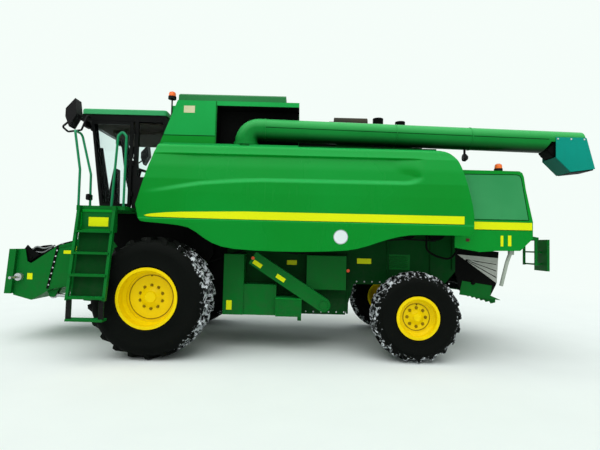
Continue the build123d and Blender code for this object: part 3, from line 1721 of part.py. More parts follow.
def nose_at(z):
    # where the tank's leaning front panel stands at height z
    return tank_nose + (tank_nose_top - tank_nose) * (z - tank_shoulder) / (tank_rim - tank_shoulder)


# Lamps: amber beacons in front of the tank and on the hood, and four headlamps under the roof's
# front edge.
beacon_foot = tank_rim - 230
beacon_x = nose_at(beacon_foot) + 30
beacon_y = tank_half_width - 90
with BuildPart() as lamps:
    for x, y, low, foot in (
        (beacon_x, beacon_y, tank_rim + 40, beacon_foot - 10),
        (hood_rear + 470, beacon_y + 80, hood_top + 10, hood_top + seat_gap),
    ):
        with BuildSketch(Plane.XY.offset(foot)):
            with Locations((x, y)):
                Circle(20)
        extrude(amount=low - foot)
        with BuildSketch(Plane.XY.offset(low)):
            with Locations((x, y)):
                Circle(62)
        extrude(amount=40)
        with BuildSketch(Plane.XY.offset(low + 40)):
            with Locations((x, y)):
                Circle(55)
        extrude(amount=80)
    with BuildSketch(Plane.XZ.offset(-(beacon_y - 15))):
        with BuildLine():
            Polyline(
                (nose_at(beacon_foot) + seat_gap, beacon_foot),
                (beacon_x, beacon_foot),
                (beacon_x, beacon_foot + 20),
                (nose_at(beacon_foot + 20) + seat_gap, beacon_foot + 20),
                close=True,
            )
        make_face()
    extrude(amount=-30)
    for side in (1, -1):
        with BuildSketch(Plane.YZ.offset(ring_front - 62)):
            with Locations((side * 480, cab_ring - 43), (side * 720, cab_ring - 43)):
                RectangleRounded(170, 85, 15)
        extrude(amount=60)
lamps.part.label = "lamps"
export_step(lamps.part, "parts/lamps.step")
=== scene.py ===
import math

import bmesh
import bpy
from mathutils import Matrix, Vector


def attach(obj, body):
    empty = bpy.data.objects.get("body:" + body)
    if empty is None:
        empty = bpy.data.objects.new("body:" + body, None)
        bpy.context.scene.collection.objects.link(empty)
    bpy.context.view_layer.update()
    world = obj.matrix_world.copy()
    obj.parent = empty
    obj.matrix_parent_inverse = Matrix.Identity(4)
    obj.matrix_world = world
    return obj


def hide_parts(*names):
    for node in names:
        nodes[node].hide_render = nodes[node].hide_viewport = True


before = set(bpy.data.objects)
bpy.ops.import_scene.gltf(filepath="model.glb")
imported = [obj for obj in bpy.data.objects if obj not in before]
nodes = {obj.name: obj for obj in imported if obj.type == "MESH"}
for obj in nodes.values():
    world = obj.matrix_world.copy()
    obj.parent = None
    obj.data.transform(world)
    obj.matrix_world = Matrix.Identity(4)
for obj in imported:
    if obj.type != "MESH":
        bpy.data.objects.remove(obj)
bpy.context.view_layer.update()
scene = bpy.context.scene
scene.view_settings.view_transform = "Standard"

# Camera: stands at a person's eye height beside the machine's left side, level with the middle of
# the side shield. It looks square at that side, tilted up a little and rolled slightly.
camera = bpy.data.objects.new("camera", bpy.data.cameras.new("camera"))
scene.collection.objects.link(camera)
scene.camera = camera
camera.data.sensor_width = 36
camera.data.lens = 24.96
facing_side = Matrix(((-1, 0, 0, 0), (0, 0, 1, 0), (0, 1, 0, 0), (0, 0, 0, 1)))
camera.matrix_world = (
    Matrix.Translation((-0.156, 7.52, 1.67))
    @ facing_side
    @ Matrix.Rotation(math.radians(2.75), 4, "X")
    @ Matrix.Rotation(math.radians(1.45), 4, "Z")
)


# Floor and light: a pale floor that runs out into a white background, an even sky, and two very
# broad lamps, one high overhead like an overcast sky and one from the camera's side.
def node(tree, kind, settings={}, inputs={}):
    made = tree.nodes.new(kind)
    for key, value in settings.items():
        setattr(made, key, value)
    for key, value in inputs.items():
        if isinstance(value, bpy.types.NodeSocket):
            tree.links.new(value, made.inputs[key])
        else:
            made.inputs[key].default_value = value
    return made


def mixed(tree, share, first, second):
    return node(tree, "ShaderNodeMix", {"data_type": "RGBA"}, {0: share, 6: first, 7: second})


def clouds(tree, place, scale, detail, roughness=0.5):
    return node(
        tree, "ShaderNodeTexNoise", {},
        {"Vector": place, "Scale": scale, "Detail": detail, "Roughness": roughness},
    )


background = (0.915, 0.985, 0.948, 1)
world = bpy.data.worlds.new("sky")
scene.world = world
world.use_nodes = True
tree = world.node_tree
tree.nodes.clear()
rays = node(tree, "ShaderNodeLightPath")
through = node(
    tree, "ShaderNodeMath", {"operation": "MAXIMUM"},
    {0: rays.outputs["Is Camera Ray"], 1: rays.outputs["Is Transmission Ray"]},
)
seen = node(
    tree, "ShaderNodeMath", {"operation": "MAXIMUM"},
    {0: through.outputs[0], 1: rays.outputs["Is Glossy Ray"]},
)
even = node(tree, "ShaderNodeBackground", {}, {"Color": (0.93, 0.98, 1, 1), "Strength": 0.36})
shown = node(tree, "ShaderNodeBackground", {}, {"Color": background, "Strength": 1.0})
both = node(tree, "ShaderNodeMixShader", {}, {0: seen.outputs[0], 1: even.outputs[0], 2: shown.outputs[0]})
node(tree, "ShaderNodeOutputWorld", {}, {"Surface": both.outputs[0]})

for name, strength, spread, direction in (
    ("open_sky", 2.15, 75, (-0.12, -0.36, -0.93)), ("camera_side", 0.45, 60, (0.1, -0.85, -0.5)),
):
    lamp = bpy.data.lights.new(name, "SUN")
    lamp.energy = strength
    lamp.angle = math.radians(spread)
    lit = bpy.data.objects.new(name, lamp)
    scene.collection.objects.link(lit)
    lit.rotation_mode = "QUATERNION"
    lit.rotation_quaternion = Vector(direction).to_track_quat("-Z", "Y")

floor_mesh = bpy.data.meshes.new("floor")
reach = 90
floor_mesh.from_pydata(
    [(-reach, -reach, 0), (reach, -reach, 0), (reach, reach, 0), (-reach, reach, 0)], [], [(0, 1, 2, 3)],
)
floor = bpy.data.objects.new("floor", floor_mesh)
scene.collection.objects.link(floor)
pale = bpy.data.materials.new("pale_floor")
pale.use_nodes = True
tree = pale.node_tree
tree.nodes.clear()
place = node(tree, "ShaderNodeTexCoord")
away = node(tree, "ShaderNodeVectorMath", {"operation": "LENGTH"}, {0: place.outputs["Object"]})
far = node(
    tree, "ShaderNodeMapRange", {"interpolation_type": "SMOOTHSTEP"},
    {"Value": away.outputs["Value"], "From Min": 5.5, "From Max": 17.0},
)
mottle = node(
    tree, "ShaderNodeTexNoise", {}, {"Vector": place.outputs["Object"], "Scale": 1.3, "Detail": 5.0},
)
tint = mixed(tree, mottle.outputs["Fac"], (0.83, 0.89, 0.86, 1), (0.88, 0.945, 0.91, 1))
ground = node(tree, "ShaderNodeBsdfDiffuse", {}, {"Color": tint.outputs[2]})
glow = node(tree, "ShaderNodeEmission", {}, {"Color": background, "Strength": 1.0})
blend = node(tree, "ShaderNodeMixShader", {}, {0: far.outputs[0], 1: ground.outputs[0], 2: glow.outputs[0]})
node(tree, "ShaderNodeOutputMaterial", {}, {"Surface": blend.outputs[0]})
floor_mesh.materials.append(pale)


# Threshing body: welded box of painted sheet steel that carries the whole machine. Its side sheets
# are folded and bolted along their edges, with a few plain yellow plates and red reflectors.
def weathering_group():
    tree = bpy.data.node_groups.new("weathering", "ShaderNodeTree")
    sockets = tree.interface
    for name, kind, value in (
        ("Paint", "NodeSocketColor", (0.5, 0.5, 0.5, 1)),
        ("Faded", "NodeSocketColor", (0.5, 0.5, 0.5, 1)),
        ("Painted top light", "NodeSocketColor", (0.5, 0.5, 0.5, 1)),
        ("Painted top light amount", "NodeSocketFloat", 0.0),
        ("Painted under shade", "NodeSocketFloat", 0.0),
        ("Dirt", "NodeSocketColor", (0.2, 0.18, 0.14, 1)),
        ("Dirt amount", "NodeSocketFloat", 0.4),
        ("Dirt top", "NodeSocketFloat", 1.4),
        ("Gloss loss", "NodeSocketFloat", 0.3),
        ("Grain", "NodeSocketFloat", 250.0),
    ):
        sockets.new_socket(name, in_out="INPUT", socket_type=kind).default_value = value
    sockets.new_socket("Color", in_out="OUTPUT", socket_type="NodeSocketColor")
    sockets.new_socket("Roughness", in_out="OUTPUT", socket_type="NodeSocketFloat")
    sockets.new_socket("Height", in_out="OUTPUT", socket_type="NodeSocketFloat")
    given = tree.nodes.new("NodeGroupInput")
    place = node(tree, "ShaderNodeTexCoord").outputs["Object"]
    patches = clouds(tree, place, 0.8, 3.0)
    spread = node(
        tree, "ShaderNodeMapRange", {},
        {"Value": patches.outputs["Fac"], "From Min": 0.38, "From Max": 0.64},
    )
    paint = mixed(tree, spread.outputs[0], given.outputs["Paint"], given.outputs["Faded"])
    facing = node(
        tree, "ShaderNodeSeparateXYZ", {}, {0: node(tree, "ShaderNodeTexCoord").outputs["Normal"]},
    ).outputs["Z"]
    # Painted top light: faces that turn upwards are mixed towards a lighter colour, standing in for sky
    # light on tops and ledges.
    top_light_share = node(
        tree, "ShaderNodeMapRange", {},
        {"Value": facing, "From Min": 0.02, "From Max": 0.7, "To Max": given.outputs["Painted top light amount"]},
    )
    # Painted under shade: faces that turn downwards are darkened to 6 % of their colour, standing in for
    # the shade under things.
    under_shade_share = node(
        tree, "ShaderNodeMapRange", {},
        {"Value": facing, "From Min": -0.3, "From Max": -0.9, "To Max": given.outputs["Painted under shade"]},
    )
    top_lit = mixed(tree, top_light_share.outputs[0], paint.outputs[2], given.outputs["Painted top light"])
    under_shade_colour = node(
        tree, "ShaderNodeVectorMath", {"operation": "SCALE"}, {0: top_lit.outputs[2], "Scale": 0.06},
    )
    top_lit_under_shaded = mixed(tree, under_shade_share.outputs[0], top_lit.outputs[2], under_shade_colour.outputs[0])
    drawn = node(tree, "ShaderNodeMapping", {}, {"Vector": place, "Scale": (11, 11, 1.1)})
    runs = clouds(tree, drawn.outputs[0], 1.4, 5.0)
    streaks = node(
        tree, "ShaderNodeMapRange", {}, {"Value": runs.outputs["Fac"], "From Min": 0.52, "From Max": 0.78},
    )
    dust = clouds(tree, place, 9.0, 7.0, 0.65)
    specks = node(
        tree, "ShaderNodeMapRange", {}, {"Value": dust.outputs["Fac"], "From Min": 0.42, "From Max": 0.66},
    )
    height = node(tree, "ShaderNodeSeparateXYZ", {}, {0: place})
    low = node(
        tree, "ShaderNodeMapRange", {},
        {"Value": height.outputs["Z"], "From Min": given.outputs["Dirt top"], "From Max": 0.15},
    )
    splashed = node(
        tree, "ShaderNodeMath", {"operation": "MULTIPLY_ADD"},
        {0: specks.outputs[0], 1: low.outputs[0], 2: 0.0},
    )
    rain = node(
        tree, "ShaderNodeMath", {"operation": "MULTIPLY_ADD"},
        {0: streaks.outputs[0], 1: 0.22, 2: splashed.outputs[0]},
    )
    mask = node(
        tree, "ShaderNodeMath", {"operation": "MULTIPLY", "use_clamp": True},
        {0: rain.outputs[0], 1: given.outputs["Dirt amount"]},
    )
    colour = mixed(tree, mask.outputs[0], top_lit_under_shaded.outputs[2], given.outputs["Dirt"])
    cloudy = node(
        tree, "ShaderNodeMath", {"operation": "MULTIPLY_ADD"},
        {0: patches.outputs["Fac"], 1: 0.14, 2: given.outputs["Gloss loss"]},
    )
    rough = node(
        tree, "ShaderNodeMath", {"operation": "MULTIPLY_ADD", "use_clamp": True},
        {0: mask.outputs[0], 1: 0.4, 2: cloudy.outputs[0]},
    )
    fine = clouds(tree, place, given.outputs["Grain"], 2.0)
    relief = node(
        tree, "ShaderNodeMath", {"operation": "MULTIPLY_ADD"},
        {0: mask.outputs[0], 1: 0.8, 2: fine.outputs["Fac"]},
    )
    out = tree.nodes.new("NodeGroupOutput")
    tree.links.new(colour.outputs[2], out.inputs["Color"])
    tree.links.new(rough.outputs[0], out.inputs["Roughness"])
    tree.links.new(relief.outputs[0], out.inputs["Height"])
    return tree


weathering = weathering_group()


# Each finish paints light by face direction: a lighter colour on upward faces (painted top light) and
# darkening of downward faces (painted under shade). The rest is fading, dirt, roughness and grain.
def weathered(name, paint, faded, top_lit=None, top_light=0.0, under_shade=0.0, dirt=(0.04, 0.045, 0.035), amount=0.3,
              top=1.3, gloss_loss=0.25, grain=230.0, relief=0.12, specular=0.08, shader={}):
    made = bpy.data.materials.new(name)
    made.use_nodes = True
    tree = made.node_tree
    surface = tree.nodes["Principled BSDF"]
    worn = node(tree, "ShaderNodeGroup", {"node_tree": weathering}, {
        "Paint": (*paint, 1), "Faded": (*faded, 1), "Painted top light": (*(top_lit or faded), 1), "Painted top light amount": top_light,
        "Painted under shade": under_shade,
        "Dirt": (*dirt, 1), "Dirt amount": amount, "Dirt top": top, "Gloss loss": gloss_loss,
        "Grain": grain,
    })
    surface.inputs["Specular IOR Level"].default_value = specular
    bump = node(
        tree, "ShaderNodeBump", {},
        {"Strength": relief, "Distance": 0.004, "Height": worn.outputs["Height"]},
    )
    tree.links.new(worn.outputs["Color"], surface.inputs["Base Color"])
    tree.links.new(worn.outputs["Roughness"], surface.inputs["Roughness"])
    tree.links.new(bump.outputs[0], surface.inputs["Normal"])
    for key, value in shader.items():
        surface.inputs[key].default_value = value
    return made


def dress(material, *names):
    for name in names:
        nodes[name].material_slots[0].material = material


def block(low, high):
    corners = [(x, y, z) for x in (low[0], high[0]) for y in (low[1], high[1]) for z in (low[2], high[2])]
    return corners, [(0, 1, 3, 2), (4, 6, 7, 5), (0, 4, 5, 1), (2, 3, 7, 6), (0, 2, 6, 4), (1, 5, 7, 3)]


def prism(outline, low, high, along="y"):
    order = {
        "x": lambda a, b, c: (c, a, b), "y": lambda a, b, c: (a, c, b), "z": lambda a, b, c: (a, b, c),
    }[along]
    count = len(outline)
    points = [order(a, b, low) for a, b in outline] + [order(a, b, high) for a, b in outline]
    sides = [(i, (i + 1) % count, count + (i + 1) % count, count + i) for i in range(count)]
    return points, [tuple(range(count - 1, -1, -1)), tuple(range(count, 2 * count)), *sides]


def turned(profile, centre, along="y", steps=48, closed=False):
    points = []
    for k in range(steps):
        turn = 2 * math.pi * k / steps
        for place, radius in profile:
            u, v = radius * math.cos(turn), radius * math.sin(turn)
            point = {"x": (place, u, v), "y": (u, place, v), "z": (u, v, place)}[along]
            points.append(tuple(a + b for a, b in zip(point, centre)))
    count = len(profile)
    faces = []
    for k in range(steps):
        ahead = (k + 1) % steps
        for i in range(count if closed else count - 1):
            j = (i + 1) % count
            faces.append((k * count + i, k * count + j, ahead * count + j, ahead * count + i))
    if not closed:
        for i in (0, count - 1):
            if profile[i][1] > 1e-6:
                faces.append(tuple(k * count + i for k in range(steps)))
    return points, faces


def pipe(points, radius, bend=0.05, sides=12, steps=5):
    points = [Vector(p) for p in points]
    line = [points[0]]
    for before, corner, after in zip(points, points[1:], points[2:]):
        back, on = (before - corner), (after - corner)
        reach = min(bend, 0.45 * back.length, 0.45 * on.length)
        start, end = corner + back.normalized() * reach, corner + on.normalized() * reach
        for k in range(steps + 1):
            t = k / steps
            line.append(start * (1 - t) ** 2 + corner * 2 * t * (1 - t) + end * t * t)
    line.append(points[-1])
    ahead = (line[1] - line[0]).normalized()
    side = ahead.orthogonal().normalized()
    made, faces = [], []
    for k, here in enumerate(line):
        turn = (line[min(k + 1, len(line) - 1)] - line[max(k - 1, 0)]).normalized()
        side = (side - turn * side.dot(turn)).normalized()
        other = turn.cross(side)
        for s in range(sides):
            a = 2 * math.pi * s / sides
            made.append(tuple(here + (side * math.cos(a) + other * math.sin(a)) * radius))
    for k in range(len(line) - 1):
        for s in range(sides):
            t = (s + 1) % sides
            faces.append((k * sides + s, k * sides + t, (k + 1) * sides + t, (k + 1) * sides + s))
    faces.append(tuple(range(sides - 1, -1, -1)))
    faces.append(tuple((len(line) - 1) * sides + s for s in range(sides)))
    return made, faces


def piece(name, shapes, material, body, bevel=0.0, sharp=35, replaces=()):
    mesh = bpy.data.meshes.new(name)
    points, faces = [], []
    for shape_points, shape_faces in shapes:
        start = len(points)
        points += shape_points
        faces += [tuple(i + start for i in face) for face in shape_faces]
    mesh.from_pydata(points, [], faces)
    form = bmesh.new()
    form.from_mesh(mesh)
    bmesh.ops.remove_doubles(form, verts=form.verts, dist=1e-6)
    bmesh.ops.recalc_face_normals(form, faces=form.faces)
    if bevel:
        corners = [
            e
            for e in form.edges
            if len(e.link_faces) == 2 and e.calc_face_angle() > math.radians(40)
        ]
        bmesh.ops.bevel(form, geom=corners, offset=bevel, segments=2, affect="EDGES", clamp_overlap=True)
    for edge in form.edges:
        edge.smooth = len(edge.link_faces) == 2 and edge.calc_face_angle() < math.radians(sharp)
    for face in form.faces:
        face.smooth = True
    form.to_mesh(mesh)
    form.free()
    made = bpy.data.objects.new(name, mesh)
    scene.collection.objects.link(made)
    mesh.materials.append(material)
    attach(made, body)
    if replaces:
        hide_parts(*replaces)
    return made


def repeat_tree():
    tree = bpy.data.node_groups.new("repeats", "GeometryNodeTree")
    sockets = tree.interface
    sockets.new_socket("Geometry", in_out="INPUT", socket_type="NodeSocketGeometry")
    sockets.new_socket("Count", in_out="INPUT", socket_type="NodeSocketInt")
    for name in ("Step", "Turn", "Centre"):
        sockets.new_socket(name, in_out="INPUT", socket_type="NodeSocketVector")
    sockets.new_socket("Finish", in_out="INPUT", socket_type="NodeSocketMaterial")
    sockets.new_socket("Geometry", in_out="OUTPUT", socket_type="NodeSocketGeometry")
    given = tree.nodes.new("NodeGroupInput")
    back = node(
        tree, "ShaderNodeVectorMath", {"operation": "SCALE"}, {0: given.outputs["Centre"], "Scale": -1.0},
    )
    centred = node(
        tree, "GeometryNodeTransform", {},
        {"Geometry": given.outputs["Geometry"], "Translation": back.outputs[0]},
    )
    places = node(
        tree, "GeometryNodeMeshLine", {},
        {
            "Count": given.outputs["Count"], "Start Location": given.outputs["Centre"],
            "Offset": given.outputs["Step"],
        },
    )
    index = node(tree, "GeometryNodeInputIndex")
    angle = node(
        tree, "ShaderNodeVectorMath", {"operation": "SCALE"},
        {0: given.outputs["Turn"], "Scale": index.outputs[0]},
    )
    turned_by = node(tree, "FunctionNodeEulerToRotation", {}, {0: angle.outputs[0]})
    copies = node(
        tree, "GeometryNodeInstanceOnPoints", {},
        {"Points": places.outputs[0], "Instance": centred.outputs[0], "Rotation": turned_by.outputs[0]},
    )
    real = node(tree, "GeometryNodeRealizeInstances", {}, {0: copies.outputs[0]})
    finished = node(
        tree, "GeometryNodeSetMaterial", {},
        {"Geometry": real.outputs[0], "Material": given.outputs["Finish"]},
    )
    out = tree.nodes.new("NodeGroupOutput")
    tree.links.new(finished.outputs[0], out.inputs[0])
    return tree


repeats = repeat_tree()


def repeated(name, shapes, material, body, count, step=(0, 0, 0), turn=(0, 0, 0), centre=(0, 0, 0),
             bevel=0.0, replaces=()):
    seed = piece(name + "_one", shapes, material, body, bevel)
    values = {"Count": count, "Step": step, "Turn": turn, "Centre": centre, "Finish": material}
    copier = seed.modifiers.new("copies", "NODES")
    copier.node_group = repeats
    for item in repeats.interface.items_tree:
        if item.in_out == "INPUT" and item.name in values:
            copier[item.identifier] = values[item.name]
    mesh = bpy.data.meshes.new_from_object(seed.evaluated_get(bpy.context.evaluated_depsgraph_get()))
    seed.modifiers.remove(copier)
    bpy.data.objects.remove(seed)
    made = bpy.data.objects.new(name, mesh)
    scene.collection.objects.link(made)
    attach(made, body)
    if replaces:
        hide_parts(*replaces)
    return made


green = weathered(
    "green_enamel", (0.0003, 0.245, 0.018), (0.0006, 0.265, 0.024), (0.012, 0.4, 0.07), 1.0, amount=0.12,
    gloss_loss=0.2,
)
tank_green = weathered(
    "green_enamel_tank", (0.008, 0.34, 0.06), (0.012, 0.38, 0.075), (0.03, 0.45, 0.11), 0.6, amount=0.12,
)
# The auger tube's green takes the full painted top light and painted under shade: lighter along its top,
# near black underneath.
tube_green = weathered(
    "green_enamel_tube", (0.003, 0.2, 0.028), (0.006, 0.235, 0.036), (0.05, 0.45, 0.11), 1.0, 1.0,
    amount=0.12,
)
cover_green = weathered(
    "green_enamel_cover", (0.016, 0.165, 0.042), (0.024, 0.195, 0.055), amount=0.15, gloss_loss=0.35,
)
roof_green = weathered("green_enamel_roof", (0.045, 0.37, 0.13), (0.06, 0.41, 0.155), amount=0.1)
rail_green = weathered(
    "green_enamel_rail", (0.008, 0.2, 0.075), (0.012, 0.24, 0.09), (0.05, 0.42, 0.2), 0.8, amount=0.2,
)
# A darker copy of the green enamel for parts low down and under the shields: painted shade.
half_shade_green = weathered("green_enamel_half_shade", (
    0.0006, 0.125, 0.014,
), (0.001, 0.15, 0.018), (0.004, 0.24, 0.045), 0.8, amount=0.35,
                        top=1.6, gloss_loss=0.32)
# A much darker copy of the green enamel for parts in deep shade under the shields and in the engine bay:
# painted shade.
full_shade_green = weathered(
    "green_enamel_shaded", (0.0004, 0.045, 0.006), (0.0008, 0.062, 0.009), amount=0.35, top=2.0,
    gloss_loss=0.5, specular=0.05,
)
yellow = weathered(
    "yellow_enamel", (0.9, 0.66, 0.0008), (0.92, 0.7, 0.0015), dirt=(0.3, 0.2, 0.01), amount=0.25, top=1.0,
    gloss_loss=0.24,
)
stripe_yellow = weathered("stripe_yellow", (
    0.74, 0.81, 0.003,
), (0.78, 0.85, 0.005), dirt=(0.2, 0.22, 0.02), amount=0.1, top=1.0,
                          gloss_loss=0.3, grain=400.0, relief=0.03)
black_steel = weathered("black_steel", (
    0.001, 0.0012, 0.001,
), (0.003, 0.0033, 0.003), dirt=(0.012, 0.014, 0.012), amount=0.3, top=2.0,
                        gloss_loss=0.55, relief=0.2, specular=0.04)
plain_steel = weathered("plain_steel", (0.42, 0.43, 0.44), (0.55, 0.56, 0.57), amount=0.35, top=1.6,
                        gloss_loss=0.3, grain=500.0, shader={"Metallic": 0.85})
reflector_red = weathered("reflector_red", (0.8, 0.08, 0.02), (0.88, 0.13, 0.03), amount=0.1,
                          gloss_loss=0.12, grain=600.0, relief=0.3, shader={"Coat Weight": 0.3})
dark_red = weathered(
    "dark_red_lens", (0.05, 0.004, 0.003), (0.08, 0.006, 0.004), amount=0.1, gloss_loss=0.15,
    shader={"Coat Weight": 0.3},
)
blank_cream = weathered("blank_cream", (0.62, 0.6, 0.36), (0.72, 0.7, 0.45), amount=0.2, gloss_loss=0.4)
# The body side is dressed in the darkest shaded green: painted shade under the shields.
dress(full_shade_green, "threshing_body")

# bare plates: name, body, x front, x rear, z low, z high, y, material
plates = [
    ("plate_body", "chassis", 0.04, -0.12, 1.345, 1.42, 0.7215, stripe_yellow),
    ("plate_guard", "chassis", 0.96, 0.875, 0.64, 0.785, 1.0005, stripe_yellow),
    ("plate_drive_rear", "chassis", -1.1, -1.33, 1.39, 1.475, 0.7215, stripe_yellow),
    ("plate_feeder_top", "feeder", 3.7, 3.535, 1.43, 1.485, 0.6905, stripe_yellow),
    ("plate_feeder_seam", "feeder", 3.5, 3.415, 1.42, 1.56, 0.6905, stripe_yellow),
    ("plate_feeder_front", "feeder", 4.275, 4.19, 1.0, 1.1, 0.6905, stripe_yellow),
    ("plate_apron", "chassis", 2.83, 2.55, 1.86, 1.99, 1.6505, stripe_yellow),
    ("plate_hood_front", "chassis", -3.165, -3.205, 1.725, 1.885, 1.2905, stripe_yellow),
    ("plate_hood_rear", "chassis", -3.275, -3.325, 1.73, 1.89, 1.2905, stripe_yellow),
    ("plate_tank", "chassis", 1.68, 1.51, 3.665, 3.775, 1.1905, blank_cream),
]
for name, body, front, rear, low, high, y, material in plates:
    piece(name, [block((rear, y - 0.0004, low), (front, y + 0.0018, high))], material, body, 0.0005)

bolt_head = turned([(0, 0.0), (0, 0.013), (0.007, 0.013), (0.009, 0.009), (0.009, 0.0)], (0, 0, 0), steps=6)


def moved(shape, place):
    return [tuple(a + b for a, b in zip(point, place)) for point in shape[0]], shape[1]


def flipped(shape):
    return [(x, -y, z) for x, y, z in shape[0]], [tuple(reversed(face)) for face in shape[1]]


def sided(shapes, side):
    return [shape if side > 0 else flipped(shape) for shape in shapes]


both_sides = ((1, "left"), (-1, "right"))


# folded flanges and bolt rows along the body's side sheets: x start, x end, z, bolts
seams = [(2.35, 1.1, 2.05, 12), (0.95, -0.9, 0.6, 16), (-1.1, -2.6, 1.1, 13), (-0.95, -2.6, 2.04, 14)]
for k, (start, end, z, count) in enumerate(seams):
    for side, hand in both_sides:
        row = moved(bolt_head, (start, 0.72, z))
        repeated(
            f"body_bolts_{k}_{hand}", sided([row], side), plain_steel, "chassis", count,
            step=((end - start) / (count - 1), 0, 0),
        )
flanges = []
for side in (1, -1):
    for x in (2.2, 1.05, -0.95, -1.6, -2.3):
        low = 1.15 if x > 1.1 or x < -1.0 else 0.58
        flanges.append(
            block(
                (x - 0.016, min(side * 0.72, side * 0.742), low),
                (x + 0.016, max(side * 0.72, side * 0.742), 2.06),
            )
        )
    flanges.append(
        block((-2.68, min(side * 0.72, side * 0.75), 1.33), (-2.64, max(side * 0.72, side * 0.75), 2.06))
    )
piece("body_flanges", flanges, full_shade_green, "chassis", 0.003)

# black sheet over each front wheel, standing in for the shade above the tyre under the shield: painted
# shade
for side, hand in both_sides:
    shade_sheet = prism(
        [(1.02, 0.72), (1.4, 0.72), (1.4, 1.15), (2.45, 1.15), (2.95, 1.75), (2.95, 2.09), (1.02, 2.09)],
        0.7205, 0.744,
    )
    piece(f"arch_shade_sheet_{hand}", sided([shade_sheet], side), black_steel, "chassis", 0.003)

# louvred side panel ahead of the rear wheel
louvre = prism([(0.0, 0.0), (0.03, 0.006), (0.03, 0.012), (0.0, 0.018)], -1.92, -1.62, "x")
louvre = ([(x, 0.722 + y, 1.34 + z) for x, y, z in louvre[0]], louvre[1])
for side, hand in both_sides:
    repeated(
        f"louvres_{hand}", sided([louvre], side), half_shade_green, "chassis", 6, step=(0, 0, 0.033),
    )
    panel = block((-1.96, 0.72, 1.31), (-1.58, 0.727, 1.555))
    piece(f"louvre_panel_{hand}", sided([panel], side), half_shade_green, "chassis", 0.002)

# Axles and steering: heavy cast and welded members, painted green, with a black tie rod on steel
# ball ends.
dress(half_shade_green, "front_axle", "rear_axle", "knuckle_left", "knuckle_right")
dress(black_steel, "tie_rod")

# Wheels: lugged farm tyres on pressed steel rims. A tyre is a moulded carcass with two rows of
# slanting lugs; packed snow and dust lie between them. Ten bolts hold each front rim to its hub
# and eight each rear one.
tyre_rubber = bpy.data.materials.new("tyre_rubber")
tyre_rubber.use_nodes = True
tree = tyre_rubber.node_tree
place = node(tree, "ShaderNodeTexCoord").outputs["Object"]
tread = node(tree, "ShaderNodeAttribute", {"attribute_name": "tread"})
clumps = clouds(tree, place, 17.0, 8.0, 0.7)
near_lugs = node(
    tree, "ShaderNodeMath", {"operation": "MULTIPLY_ADD"},
    {0: tread.outputs["Fac"], 1: 0.3, 2: clumps.outputs["Fac"]},
)
snow = node(
    tree, "ShaderNodeMapRange", {}, {"Value": near_lugs.outputs[0], "From Min": 0.79, "From Max": 0.84},
)
dusty = clouds(tree, place, 3.5, 5.0)
rubber = mixed(tree, dusty.outputs["Fac"], (0.0008, 0.0014, 0.001, 1), (0.004, 0.005, 0.004, 1))
covered = mixed(tree, snow.outputs[0], rubber.outputs[2], (0.62, 0.66, 0.68, 1))
dull = node(tree, "ShaderNodeMapRange", {}, {"Value": dusty.outputs["Fac"], "To Min": 0.5, "To Max": 0.8})
grit = clouds(tree, place, 160.0, 4.0)
raised = node(
    tree, "ShaderNodeMath", {"operation": "MULTIPLY_ADD"},
    {0: snow.outputs[0], 1: 1.2, 2: grit.outputs["Fac"]},
)
bump = node(tree, "ShaderNodeBump", {}, {"Strength": 0.35, "Distance": 0.006, "Height": raised.outputs[0]})
surface = tree.nodes["Principled BSDF"]
surface.inputs["Specular IOR Level"].default_value = 0.05
tree.links.new(covered.outputs[2], surface.inputs["Base Color"])
tree.links.new(dull.outputs[0], surface.inputs["Roughness"])
tree.links.new(bump.outputs[0], surface.inputs["Normal"])

yellow_shade = weathered(
    "yellow_shaded", (0.3, 0.2, 0.002), (0.36, 0.24, 0.003), dirt=(0.05, 0.04, 0.01), amount=0.6, top=1.6,
    gloss_loss=0.4,
)

# axle, hand, side, x, y, tyre radius, width, rim radius, rim width, lug pairs, lug height, bolts,
# bolt circle, dish
wheel_table = [
    ("front", "left", 1, 1.96, 1.35, 0.87, 0.69, 0.432, 0.67, 22, 0.046, 10, 0.167, 0.11),
    ("front", "right", -1, 1.96, 1.35, 0.87, 0.69, 0.432, 0.67, 22, 0.046, 10, 0.167, 0.11),
    ("rear", "left", 1, -1.89, 1.27, 0.66, 0.48, 0.312, 0.45, 20, 0.036, 8, 0.135, 0.09),
    ("rear", "right", -1, -1.89, 1.27, 0.66, 0.48, 0.312, 0.45, 20, 0.036, 8, 0.135, 0.09),
]


shoulder_in, edge_in, shoulder_wide = 0.062, 0.03, 0.032
crown_drop, shoulder_drop, edge_start, edge_drop = 0.022, 0.088, 0.11, 0.05


def outer_radius(y, radius, width):
    half = width / 2
    if y < half - shoulder_in:
        return radius - crown_drop * (y / (half - shoulder_in)) ** 2
    if y < half - edge_in:
        return radius - crown_drop - shoulder_drop * (y - half + shoulder_in) / shoulder_wide
    return radius - edge_start - edge_drop * (y - half + edge_in) / edge_in


